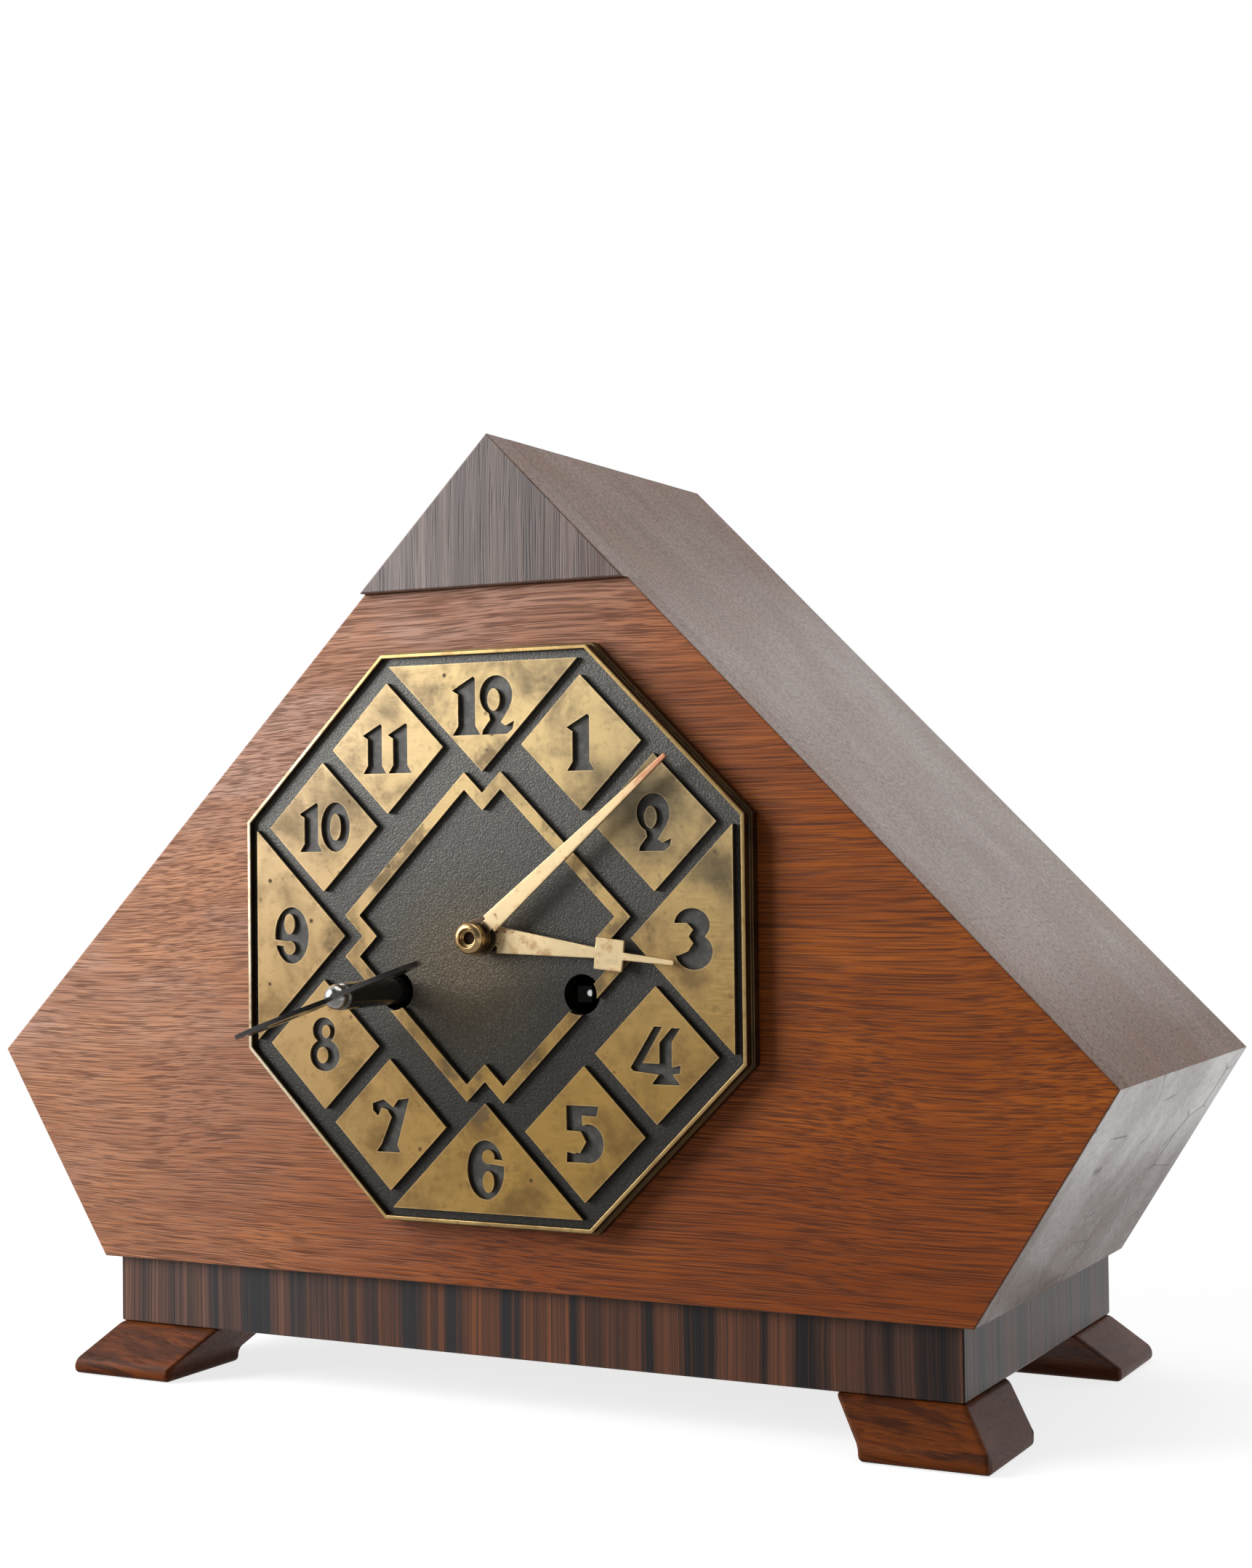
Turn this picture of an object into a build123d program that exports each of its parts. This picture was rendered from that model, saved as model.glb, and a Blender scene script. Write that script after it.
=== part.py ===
from build123d import *
import os
from math import atan2, cos, hypot, pi, radians, sin, sqrt

# Mantel clock: a gabled wooden case on a striped plinth and four splayed feet, a cast
# brass dial with raised number pads, two hands, a winding key in the strike hole, and
# a spring-driven movement with a time train, a strike train and a pendulum inside.
# Millimetres, +Z up from the floor, +X to the right as seen from the front, which
# faces -Y. Depths are counted from the face of the front panel, and the finished
# pieces are then moved along Y so that the part's box is centred over the origin.

# Case
case_w = 333.6
side_point_z = 90.7
side_slant = 36.3
case_depth = 126.5
board_t = 9.0
front_t = 9.0
back_t = 6.0
back_recess = 3.0
cap_h = 40.2
head_room = 17.3
cap_proud = 2.6
case_edge_r = 0.5

# Plinth and feet
plinth_side_in = 3.6
plinth_h = 18.6
plinth_t = 12.0
plinth_front_in = 2.8
plinth_back_in = 0.4
foot_w = 33.8
foot_h = 14.0
toe_h = 3.6
foot_splay_x = 9.7
foot_splay_y = 10.0
foot_corner_r = 1.6

# Dial
dial_z = 125.0
dial_flats = 150.0
dial_sides = 8
dial_step = 0.8
dial_step_h = 3.2
dial_h = 6.4
dial_relief = 2.0
pad_low = 0.2
rim_w = 1.0
dial_skin = 2.0
pad_base_r = 71.8
pad_tri_h = 28.6
pad_near = 29.3
pad_far = 50.0
pad_half_diagonal = 17.4
band_reach = 48.6
band_w = 3.2
band_notch = 5.5
numeral_h = 14.5
point_numeral_h = 15.4
pair_numeral_h = 13.3
numeral_depth = 1.3
numeral_r = 60.5
dial_hole_r = 4.2
wind_hole_r = 5.2
bolt_r = 2.0
bolt_at = 64.0
bolt_head_r = 4.2
bolt_head_h = 3.0

# Hands
minute_deg = 50.4
hour_deg = 96.1
minute_len = 72.2
minute_base_w = 5.3
minute_tip_w = 1.2
minute_t = 0.9
hour_len = 56.6
hour_base_w = 7.0
hour_neck_w = 2.2
hour_plate_w = 8.1
hour_plate_at = 38.3
hour_tip_w = 1.3
hour_t = 1.0
hand_gap = 1.4
blade_from = 5.6
hand_neck_w = 3.2
minute_hub_r = 4.0
hour_hub_r = 5.0
hand_nut_r = 4.2
hand_nut_h = 4.0
hand_nut_dome_r = 1.8
hand_nut_eye_r = 2.4
hand_nut_eye_h = 1.2

# Movement frame
plate_w = 108.0
plate_h = 102.0
plate_t = 2.0
plate_gap = 40.0
opening_r = 42.0
pillar_r = 3.5
pillar_end_r = 2.0
pillar_in = 5.5
pillar_nut_r = 3.4
pillar_nut_h = 2.5
screw_side_in = 20.0
screw_end_in = 4.0
screw_r = 1.6
screw_len = 8.0
screw_head_r = 3.4
screw_head_h = 1.6

# Running fits and gaps
running = 0.05
snug = 0.02
end_play = 0.4
pivot_in = 0.3
overrun = 5.0

# Teeth, as shares of the module and of one tooth's pitch
addendum_share = 0.8
dedendum_share = 1.1
tooth_root_share = 0.27
tooth_tip_share = 0.07
window_count = 5
window_r_share = 0.24
window_at_share = 0.58

# Time train and strike train
wind_x = 28.1
wind_drop = 14.5
great_teeth = 48
great_pinion_teeth = 8
great_module = 1.0
great_gap = 3.0
great_t = 2.5
drum_r = 21.0
drum_len = 16.5
drum_wall = 1.4
spring_core_r = 9.0
spring_clear = 0.3
second_teeth = 42
second_pinion_teeth = 7
second_module = 0.7
fine_teeth = 84
fine_pinion_teeth = 7
centre_module = 0.35
third_module = 0.3
third_deg = 120.0
warn_teeth = 42
warn_pinion_teeth = 7
warn_module = 0.6
pin_deg = 100.0
warn_deg = 75.0
fly_deg = 20.0
wheel_t = 1.4
level_gap = 2.9
pinion_over = 0.8
arbor_r = 1.5
fine_arbor_r = 0.7
pivot_r = 0.6
warn_gap = 17.0
fly_vane_r = 8.0
fly_vane_h = 9.0
fly_vane_t = 0.6
lift_pins = 6
lift_pin_r = 0.8
lift_pin_at = 12.9
lift_pin_h = 3.0

# Winding
wind_arbor_r = 3.1
wind_square = 4.2
wind_tip_in = 1.4
ratchet_teeth = 16
ratchet_r = 9.0
ratchet_tooth_h = 1.6
ratchet_t = 2.4
ratchet_gap = 0.6
click_reach = 14.0
click_deg = 100.0
click_nose_deg = 38.0
click_gap = 0.4
click_boss_r = 2.4
click_nose_r = 0.6
click_stud_r = 1.2
key_r = 3.5
key_boss_r = 3.3
key_square_gap = 0.1
key_seat = 7.0
key_out = 31.0
key_turn_deg = 20.0
bow_droop_deg = 6.0
bow_reach = 28.6
bow_t = 1.2
bow_h = 14.5
bow_tip_h = 5.0
bow_eye_r = 4.0
bow_eye_at = 15.5

# Motion work
cannon_teeth = 12
minute_wheel_teeth = 36
motion_module = 0.8
minute_pinion_teeth = 10
hour_wheel_teeth = 40
motion_gap = 0.4
motion_t = 1.4
centre_arbor_r = 1.6
cannon_r = 2.7
pipe_r = 3.6
motion_stud_r = 1.5

# Escapement and pendulum
escape_teeth = 40
escape_r = 11.0
escape_tooth_h = 1.8
escape_y = 13.0
anchor_reach = 15.0
pallet_deg = 45.0
pallet_gap = 1.6
pallet_half = 0.8
anchor_arm_half = 1.4
anchor_boss_r = 2.0
anchor_arbor_r = 1.0
crutch_gap = 2.0
crutch_t = 1.2
crutch_half = 1.5
crutch_drop = 28.0
fork_pin_r = 0.7
fork_gap = 0.4
cock_x = 13.0
cock_post_r = 2.5
cock_reach = 12.0
cock_t = 2.0
cock_half_h = 4.0
hang_pin_r = 1.0
eye_r = 3.2
eye_t = 3.0
pendulum_floor_gap = 2.3
rod_r = 1.2
bob_r = 17.0
bob_t = 10.0
bob_bevel = 3.2
rating_nut_r = 4.0
rating_nut_h = 5.0
rod_below = 2.0

# Hammer and gong
hammer_x = 44.0
hammer_drop = 37.0
hammer_reach = 36.0
hammer_dip = 7.0
hammer_half = 1.4
hammer_head_r = 4.0
hammer_head_h = 12.0
hammer_tail_half = 1.6
hammer_tail_end = 0.8
hammer_tail_gap = 0.6
strike_gap = 1.2
gong_back = 21.0
gong_r = 1.6
gong_past_hammer = 62.0
gong_in = 10.0
gong_block_w = 22.0
gong_block_d = 20.0
gong_block_in = 60.5
gong_block_over = 9.0

# Back door
door_w = 140.0
door_bottom_z = 58.0
door_eaves_z = 140.0
door_gap = 0.6
hinge_h = 22.0
hinge_z_low = 75.0
hinge_z_high = 122.0
hinge_leaf_w = 14.0
hinge_leaf_t = 1.0
knuckle_r = 2.6
hinge_pin_r = 1.2
hinge_gap = 0.4
knob_x = 58.0
knob_z = 100.0
knob_r = 7.0
knob_len = 12.0
knob_neck_r = 3.2
knob_neck_len = 5.0
knob_round_r = 2.0
button_x = 8.0
button_z = 118.0
button_len = 25.0
button_w = 8.0
button_t = 2.4
button_gap = 0.3
button_screw_r = 1.6
button_head_r = 3.0
button_head_h = 1.4

# Shapes of the plain digits: shares of the digit's height, counted from its middle.
# Bowls and eyes are ellipses, each (x, z, half width, half height). Eyes and notches
# are cut from the bowls, and the straight strokes are added last.
digit_bowl_shares = {
    0: [(0, 0, 0.35, 0.5)],
    2: [(-0.01, 0.16, 0.32, 0.34)],
    3: [(-0.01, 0.23, 0.32, 0.27), (0.02, -0.20, 0.34, 0.30)],
    5: [(0.08, -0.16, 0.30, 0.34)],
    6: [(0, 0, 0.36, 0.5)],
    8: [(-0.02, 0.26, 0.25, 0.24), (0, -0.20, 0.33, 0.30)],
}
digit_eye_shares = {
    0: [(0, 0, 0.13, 0.27)],
    2: [(-0.06, 0.09, 0.12, 0.19)],
    6: [(0.05, 0.22, 0.12, 0.12), (0.05, -0.20, 0.11, 0.18)],
    8: [(0.03, 0.24, 0.09, 0.12), (-0.05, -0.20, 0.12, 0.15)],
}
digit_notch_shares = {
    3: [(-0.6, 0.25), (-0.10, 0.26), (0.01, 0.15), (-0.07, 0.04), (0.01, -0.07), (-0.08, -0.20),
        (-0.26, -0.27), (-0.6, -0.25)],
    5: [(-0.6, 0.12), (-0.20, 0.12), (-0.06, 0.03), (0.03, -0.13), (-0.09, -0.33), (-0.6, -0.30)],
    6: [(0.05, 0.20), (0.6, 0.15), (0.6, 0.05), (0.05, 0.11)],
}
digit_stroke_shares = {
    1: [[(0.14, 0.5), (0.18, 0.46), (0.18, -0.34), (0.28, -0.5), (-0.27, -0.5), (-0.16, -0.34),
         (-0.16, 0.20), (-0.28, 0.27)]],
    2: [[(0.31, 0.12), (0.25, -0.06), (0.08, -0.30), (0.17, -0.36), (0.34, -0.28), (0.31, -0.42),
         (0.20, -0.5), (-0.29, -0.5), (-0.27, -0.42), (-0.13, -0.25), (-0.16, -0.12), (0.03, -0.13)]],
    4: [[(-0.04, 0.5), (0.12, 0.5), (-0.27, -0.14), (0.06, -0.14), (0.06, 0.22), (0.30, 0.48),
         (0.47, 0.48), (0.30, 0.24), (0.30, -0.20), (0.47, -0.16), (0.45, -0.30), (0.31, -0.32),
         (0.46, -0.5), (-0.09, -0.5), (0.05, -0.33), (-0.45, -0.28), (-0.5, -0.22)]],
    5: [[(-0.36, 0.5), (0.28, 0.5), (0.24, 0.32), (-0.05, 0.33), (-0.03, 0.05), (-0.36, 0.06)],
        [(-0.36, -0.5), (-0.35, -0.32), (-0.02, -0.37), (0.12, -0.49)]],
    7: [[(0.17, 0.46), (0.41, 0.5), (0.36, 0.32), (0.15, -0.36), (0.22, -0.5), (-0.30, -0.5),
         (-0.19, -0.36), (0.03, 0.14), (-0.06, 0.27), (-0.18, 0.31), (-0.26, 0.15), (-0.37, 0.25),
         (-0.38, 0.38), (-0.14, 0.46), (0.07, 0.32)]],
}
digit_step_share = 0.62
one_step_share = 0.60

# Outline of one wing of the key's bow: shares of its reach and of its depth.
bow_wing_shares = [(0, 0.30), (0.18, 0.06), (0.55, 0), (0.92, 0.28), (1, 0.56),
                   (0.94, 0.84), (0.62, 1), (0.22, 0.90), (0, 0.62)]

# Heights and depths worked out from the sizes above
case_bottom_z = foot_h + plinth_h
case_bottom_w = case_w - 2 * side_slant
plinth_w = case_bottom_w - 2 * plinth_side_in
cap_z = dial_z + dial_flats / 2 + head_room
apex_z = cap_z + cap_h
roof_slope = (apex_z - side_point_z) / (case_w / 2)
cap_half_w = cap_h / roof_slope
back_rear_y = case_depth - back_recess
back_front_y = back_rear_y - back_t
plinth_front_y = plinth_front_in
plinth_back_y = case_depth - plinth_back_in

plate_front_y = front_t
inner_front_y = plate_front_y + plate_t
inner_back_y = inner_front_y + plate_gap
plate_back_y = inner_back_y + plate_t
great_y = inner_front_y + great_gap
drum_y = great_y + great_t
drum_end_y = drum_y + drum_len
third_y = drum_end_y + level_gap
second_y = third_y + wheel_t + level_gap
centre_y = second_y + wheel_t + level_gap
warn_y = inner_front_y + warn_gap
escape_front_y = inner_front_y + escape_y

ground_y = -(dial_h - dial_relief)
pad_y = -(dial_h - pad_low)
pocket_y = ground_y + dial_skin
hour_back_y = -dial_h - hand_gap + pad_low
hour_front_y = hour_back_y - hour_t
minute_back_y = hour_front_y - hand_gap
minute_front_y = minute_back_y - minute_t
nut_front_y = minute_front_y - hand_nut_h
cannon_back_y = plate_front_y - motion_gap
minute_wheel_y = cannon_back_y - pinion_over - motion_t
hour_wheel_back_y = minute_wheel_y - level_gap / 2
hour_wheel_y = hour_wheel_back_y - motion_t
wind_tip_y = ground_y + wind_tip_in
key_mouth_y = wind_tip_y + key_seat
ratchet_back_y = plate_front_y - ratchet_gap
ratchet_front_y = ratchet_back_y - ratchet_t
bow_back_y = -key_out
bow_front_y = bow_back_y - bow_h

centre = (0, dial_z)
time_axis = (wind_x, dial_z - wind_drop)
strike_axis = (-wind_x, dial_z - wind_drop)

# The box is centred over the origin between the key's bow and the back toes.
shift_y = -(bow_front_y + plinth_back_y + foot_splay_y) / 2


def prism(points, y_front, y_back):
    """Straight block along Y with an outline given in X and Z."""
    face = Plane.XZ.offset(-y_back) * make_face(Polyline(*points, close=True))
    return extrude(face, amount=y_back - y_front, dir=(0, -1, 0))


def rod(radius, y_front, y_back, at=(0, 0)):
    """Round bar along Y."""
    bar = Cylinder(radius, y_back - y_front, align=(Align.CENTER, Align.CENTER, Align.MIN))
    return Pos(at[0], y_front, at[1]) * Rot(-90, 0, 0) * bar


def post(radius, z_low, z_high, at):
    """Round bar along Z, at a place in X and Y."""
    bar = Cylinder(radius, z_high - z_low, align=(Align.CENTER, Align.CENTER, Align.MIN))
    return Pos(at[0], at[1], z_low) * bar


def slab(x_span, y_span, z_span):
    """Box between two limits on each axis."""
    size = [high - low for low, high in (x_span, y_span, z_span)]
    low = [span[0] for span in (x_span, y_span, z_span)]
    return Pos(*low) * Box(*size, align=(Align.MIN, Align.MIN, Align.MIN))


def inset(points, distance):
    """Corners of a clockwise outline, moved inwards by one distance on every side."""
    corners = []
    for before, here, after in zip(points[-1:] + points[:-1], points, points[1:] + points[:1]):
        u = (Vector(*here) - Vector(*before)).normalized()
        v = (Vector(*after) - Vector(*here)).normalized()
        u_in, v_in = Vector(u.Y, -u.X), Vector(v.Y, -v.X)
        move = (u_in + v_in) * (distance / (1 + u_in.dot(v_in)))
        corners.append((here[0] + move.X, here[1] + move.Y))
    return corners


def around(at, radius, angle):
    """Place at a distance and an angle (radians, from +X towards +Z) from an axis."""
    return (at[0] + radius * cos(angle), at[1] + radius * sin(angle))


def meet(at_a, reach_a, at_b, reach_b):
    """Place above the line from a to b, at given distances from both."""
    span = hypot(at_b[0] - at_a[0], at_b[1] - at_a[1])
    turn = atan2(at_b[1] - at_a[1], at_b[0] - at_a[0])
    along = (reach_a ** 2 - reach_b ** 2 + span ** 2) / (2 * span)
    across = sqrt(reach_a ** 2 - along ** 2)
    return around(around(at_a, along, turn), across, turn + pi / 2)


def taper(at_a, half_a, at_b, half_b, y_front, y_back):
    """Flat bar from one place to another, with its own half width at each end."""
    turn = atan2(at_b[1] - at_a[1], at_b[0] - at_a[0]) + pi / 2
    points = [around(at_a, half_a, turn), around(at_b, half_b, turn),
              around(at_b, -half_b, turn), around(at_a, -half_a, turn)]
    return prism(points, y_front, y_back)


def mirrored(piece):
    """The same piece on the other side of the clock's middle plane."""
    return mirror(piece, about=Plane.YZ)


def wheel_reach(teeth_a, teeth_b, module):
    """Distance between the axes of two meshed wheels."""
    return (teeth_a + teeth_b) * module / 2


def gear(teeth, module, at, phase, y_front, y_back):
    """Toothed disc; phase is the direction of one of its teeth, in radians."""
    pitch_r = teeth * module / 2
    root_r = pitch_r - module * dedendum_share
    tip_r = pitch_r + module * addendum_share
    step = 2 * pi / teeth
    points = []
    for i in range(teeth):
        middle = phase + i * step
        points.append(around(at, root_r, middle - tooth_root_share * step))
        points.append(around(at, tip_r, middle - tooth_tip_share * step))
        points.append(around(at, tip_r, middle + tooth_tip_share * step))
        points.append(around(at, root_r, middle + tooth_root_share * step))
    return prism(points, y_front, y_back)


def wheel(teeth, module, at, phase, y_front, y_back):
    """Large toothed disc with a ring of round windows."""
    disc = gear(teeth, module, at, phase, y_front, y_back)
    pitch_r = teeth * module / 2
    for i in range(window_count):
        spot = around(at, pitch_r * window_at_share, phase + 2 * pi * i / window_count)
        disc -= rod(pitch_r * window_r_share, y_front - overrun, y_back + overrun, spot)
    return disc


def meshed(teeth_a, phase_a, at_a, teeth_b, at_b):
    """Phase of wheel b that sets a gap of it against a tooth of wheel a."""
    toward = atan2(at_b[1] - at_a[1], at_b[0] - at_a[0])
    share = (toward - phase_a) * teeth_a / (2 * pi)
    return toward + pi - (1 / 2 - share) * 2 * pi / teeth_b


def spindle(at, radius, y_back_end=None):
    """Pivoted arbor between the plates, or on through the back plate."""
    bar = rod(radius, inner_front_y + end_play, y_back_end or inner_back_y - end_play, at)
    back_pivot = 0 if y_back_end else rod(pivot_r, inner_back_y - end_play - overrun,
                                          plate_back_y - pivot_in, at)
    bar += rod(pivot_r, plate_front_y + pivot_in, inner_front_y + end_play + overrun, at)
    return bar + back_pivot if back_pivot else bar


nodes = {}

# Case: five mitred boards behind the front panel, with the cap block over its top
right_point = (case_w / 2, side_point_z)
right_bottom = (case_bottom_w / 2, case_bottom_z)
outline = [(0, apex_z), right_point, right_bottom,
           (-right_bottom[0], right_bottom[1]), (-right_point[0], right_point[1])]
inner = inset(outline, board_t)
board_names = ["roof_right", "side_right", "bottom_board", "side_left", "roof_left"]
for i, name in enumerate(board_names):
    j = (i + 1) % len(outline)
    nodes[name] = prism([outline[i], outline[j], inner[j], inner[i]], front_t, case_depth)

panel_outline = [(cap_half_w, cap_z)] + outline[1:] + [(-cap_half_w, cap_z)]
front_panel = prism(panel_outline, 0, front_t)
front_panel = fillet(front_panel.faces().sort_by(Axis.Y)[0].outer_wire().edges(), case_edge_r)
front_panel -= rod(opening_r, -overrun, front_t + overrun, centre)
bolt_places = [around(centre, bolt_at, pi / 2 * i) for i in range(4)]
screw_x = plate_w / 2 - screw_side_in
screw_z = plate_h / 2 - screw_end_in
screw_places = [(x, dial_z + z) for x in (-screw_x, screw_x) for z in (-screw_z, screw_z)]
for place in bolt_places:
    front_panel -= rod(bolt_r + running, -overrun, front_t + overrun, place)
    front_panel -= rod(bolt_head_r + running, front_t - bolt_head_h, front_t + overrun, place)
for place in screw_places:
    front_panel -= rod(screw_r + running, inner_front_y - screw_len, front_t + overrun, place)
nodes["front_panel"] = front_panel

cap_outline = [(0, apex_z), (cap_half_w, cap_z), (-cap_half_w, cap_z)]
gable_cap = prism(cap_outline, -cap_proud, front_t)
nodes["gable_cap"] = fillet(gable_cap.faces().sort_by(Axis.Y)[0].outer_wire().edges(), case_edge_r)

# Back panel with a gabled opening, and the door that closes it
door_half_w = door_w / 2
door_apex_z = door_eaves_z + door_half_w * roof_slope
door_outline = [(0, door_apex_z), (door_half_w, door_eaves_z), (door_half_w, door_bottom_z),
                (-door_half_w, door_bottom_z), (-door_half_w, door_eaves_z)]
door_way = inset(door_outline, -door_gap)
button_at = (door_half_w + button_x, button_z)
back_panel = prism(inner, back_front_y, back_rear_y)
back_panel -= prism(door_way, back_front_y - overrun, back_rear_y + overrun)
back_panel -= rod(button_screw_r + snug, back_front_y - overrun, back_rear_y + overrun, button_at)
nodes["back_panel"] = back_panel
nodes["back_door"] = prism(door_outline, back_front_y, back_rear_y)

# Two butt hinges: the fixed leaf has the lower knuckle and the pin, the door leaf the upper
hinge_x = -door_half_w - door_gap / 2
hinge_y = back_rear_y + knuckle_r


def hinge_leaf(side, z_low, knuckle_low, knuckle_high):
    """Leaf flat on the rear face, joined to its own knuckle; side is -1 or +1 along X."""
    near, far = knuckle_r + hinge_gap, knuckle_r + hinge_gap + hinge_leaf_w
    low, high = sorted((hinge_x + side * near, hinge_x + side * far))
    leaf_y = (back_rear_y, back_rear_y + hinge_leaf_t)
    leaf = slab((low, high), leaf_y, (z_low, z_low + hinge_h))
    low, high = sorted((hinge_x, hinge_x + side * far))
    leaf += slab((low, high), leaf_y, (knuckle_low, knuckle_high))
    return leaf + post(knuckle_r, knuckle_low, knuckle_high, (hinge_x, hinge_y))


fixed_leaves, door_leaves = [], []
for middle_z in (hinge_z_low, hinge_z_high):
    low_z, high_z = middle_z - hinge_h / 2, middle_z + hinge_h / 2
    bore = post(hinge_pin_r + running, low_z - overrun, high_z + overrun, (hinge_x, hinge_y))
    fixed_leaves.append(hinge_leaf(-1, low_z, low_z, middle_z - hinge_gap / 2)
                        + post(hinge_pin_r, low_z, high_z, (hinge_x, hinge_y)))
    door_leaves.append(hinge_leaf(1, low_z, middle_z + hinge_gap / 2, high_z) - bore)
nodes["hinge_fixed_leaves"] = Compound(children=fixed_leaves)
nodes["hinge_door_leaves"] = Compound(children=door_leaves)

knob_at = (knob_x, knob_z)
knob = rod(knob_neck_r, back_rear_y, back_rear_y + knob_neck_len, knob_at)
knob_head = rod(knob_r, back_rear_y + knob_neck_len, back_rear_y + knob_len, knob_at)
nodes["door_knob"] = knob + fillet(knob_head.edges().filter_by(GeomType.CIRCLE), knob_round_r)

button_y = back_rear_y + button_gap
button = prism([(button_at[0] + x * button_w / 2, button_at[1] + z * button_len / 2)
                for x, z in ((-1, 1), (1, 1), (1, -1), (-1, -1))], button_y, button_y + button_t)
nodes["turn_button"] = button - rod(button_screw_r + running, button_y - overrun,
                                    button_y + button_t + overrun, button_at)
head_y = button_y + button_t + button_gap
nodes["turn_button_screw"] = (rod(button_screw_r, back_front_y, head_y, button_at)
                              + rod(button_head_r, head_y, head_y + button_head_h, button_at))

# Plinth of four mitred rails, and the splayed feet under its corners
rail_outer = [(-plinth_w / 2, plinth_back_y), (plinth_w / 2, plinth_back_y),
              (plinth_w / 2, plinth_front_y), (-plinth_w / 2, plinth_front_y)]
rail_inner = inset(rail_outer, plinth_t)
for i, name in enumerate(["plinth_back", "plinth_right", "plinth_front", "plinth_left"]):
    j = (i + 1) % len(rail_outer)
    rail = make_face(Polyline(rail_outer[i], rail_outer[j], rail_inner[j], rail_inner[i], close=True))
    nodes[name] = extrude(Pos(0, 0, foot_h) * rail, amount=plinth_h, dir=(0, 0, 1))

splay = Vector(foot_splay_x, foot_splay_y, toe_h - foot_h)
for side_x, name_x in ((-1, "left"), (1, "right")):
    for side_y, name_y, edge_y in ((-1, "front", plinth_front_y), (1, "back", plinth_back_y)):
        top_x = side_x * (plinth_w / 2 - foot_w / 2)
        top_y = edge_y - side_y * foot_w / 2
        section = RectangleRounded(foot_w, foot_w, foot_corner_r)
        lean = Vector(side_x * splay.X, side_y * splay.Y, splay.Z)
        leg = extrude(Pos(top_x, top_y, foot_h) * section, amount=lean.length, dir=lean.normalized())
        toe = Pos(top_x + lean.X, top_y + lean.Y, 0) * section
        nodes[f"foot_{name_y}_{name_x}"] = leg + extrude(toe, amount=toe_h, dir=(0, 0, 1))

# Dial: an octagonal rim on the panel, and the face that it frames, with raised number
# pads and a notched band, held by bolts from behind the panel
corner_turn = pi / dial_sides


def octagon(flats):
    """Corners of an upright octagon round the dial's centre, clockwise from the top."""
    corner_r = flats / 2 / cos(corner_turn)
    return [around(centre, corner_r, pi / 2 - corner_turn * (2 * i + 1)) for i in range(dial_sides)]


def turned(points, quarter):
    """Outline points given from the dial's centre, turned clockwise by quarter turns."""
    for _ in range(quarter):
        points = [(z, -x) for x, z in points]
    return points


def on_dial(points):
    """Outline points moved from the dial's centre to their place."""
    return [(centre[0] + x, centre[1] + z) for x, z in points]


def digit(number):
    """Flat shape of one plain digit, one unit high."""
    if number == 9:
        return Rot(0, 0, 180) * digit(6)
    shape = Sketch()
    for x, z, half_w, half_h in digit_bowl_shares.get(number, []):
        shape += Pos(x, z) * Ellipse(half_w, half_h)
    for x, z, half_w, half_h in digit_eye_shares.get(number, []):
        shape -= Pos(x, z) * Ellipse(half_w, half_h)
    if number in digit_notch_shares:
        shape -= make_face(Polyline(*digit_notch_shares[number], close=True))
    for outline in digit_stroke_shares.get(number, []):
        shape += make_face(Polyline(*outline, close=True))
    return shape


def numeral(hour, at, height):
    """Cutter for one hour number, sunk into the face of its pad."""
    figures = [int(mark) for mark in str(hour)]
    steps = [(one_step_share if 1 in pair else digit_step_share)
             for pair in zip(figures, figures[1:])]
    x = -sum(steps) / 2
    cutter = Part()
    for figure, step in zip(figures, steps + [0]):
        flat = Plane.XZ.offset(-pad_y - numeral_depth) * scale(digit(figure), by=height)
        cut = extrude(flat, amount=numeral_depth + overrun, dir=(0, -1, 0))
        cutter += Pos(at[0] + x * height, 0, at[1]) * cut
        x += step
    return cutter


face_flats = dial_flats - 2 * rim_w
dial_rim = prism(octagon(dial_flats + 2 * dial_step), -dial_step_h, 0)
dial_rim += prism(octagon(dial_flats), -dial_h, 0)
nodes["dial_rim"] = dial_rim - prism(octagon(face_flats), -dial_h - overrun, overrun)

dial = prism(octagon(face_flats - 2 * snug), ground_y, pocket_y)
triangle_pad = [(-pad_tri_h, pad_base_r), (pad_tri_h, pad_base_r), (0, pad_base_r - pad_tri_h)]
square_pad = [(0, pad_half_diagonal), (pad_half_diagonal, 0), (0, -pad_half_diagonal),
              (-pad_half_diagonal, 0)]
band_in = band_w * sqrt(2)
band_corner = [(-band_notch, band_reach - band_notch), (0, band_reach - 2 * band_notch),
               (band_notch, band_reach - band_notch)]
band_outer, band_inner = [], []
for quarter in range(4):
    band_outer += turned(band_corner, quarter)
    band_inner += turned([(x, z - band_in) for x, z in band_corner], quarter)
dial += prism(on_dial(band_outer), pad_y, ground_y) - prism(on_dial(band_inner), pad_y - overrun,
                                                            ground_y + overrun)
numbers = Part()
for quarter in range(4):
    dial += prism(on_dial(turned(triangle_pad, quarter)), pad_y, ground_y)
    numbers += numeral(quarter * 3 or 12, on_dial(turned([(0, numeral_r)], quarter))[0], point_numeral_h)
    for place, after in (((pad_near, pad_far), 1), ((pad_far, pad_near), 2)):
        x, z = turned([place], quarter)[0]
        dial += prism(on_dial([(x + px, z + pz) for px, pz in square_pad]), pad_y, ground_y)
        hour = quarter * 3 + after
        numbers += numeral(hour, on_dial([(x, z)])[0], numeral_h if hour < 10 else pair_numeral_h)
dial -= numbers
dial -= rod(dial_hole_r, -dial_h - overrun, overrun, centre)
for place in (time_axis, strike_axis):
    dial -= rod(wind_hole_r, -dial_h - overrun, overrun, place)
nodes["dial_plate"] = dial

nodes["dial_bolts"] = Compound(children=[
    rod(bolt_r, pocket_y, front_t, place)
    + prism([around(place, bolt_head_r, pi / 3 * i) for i in range(6)], front_t - bolt_head_h, front_t)
    for place in bolt_places])

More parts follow.
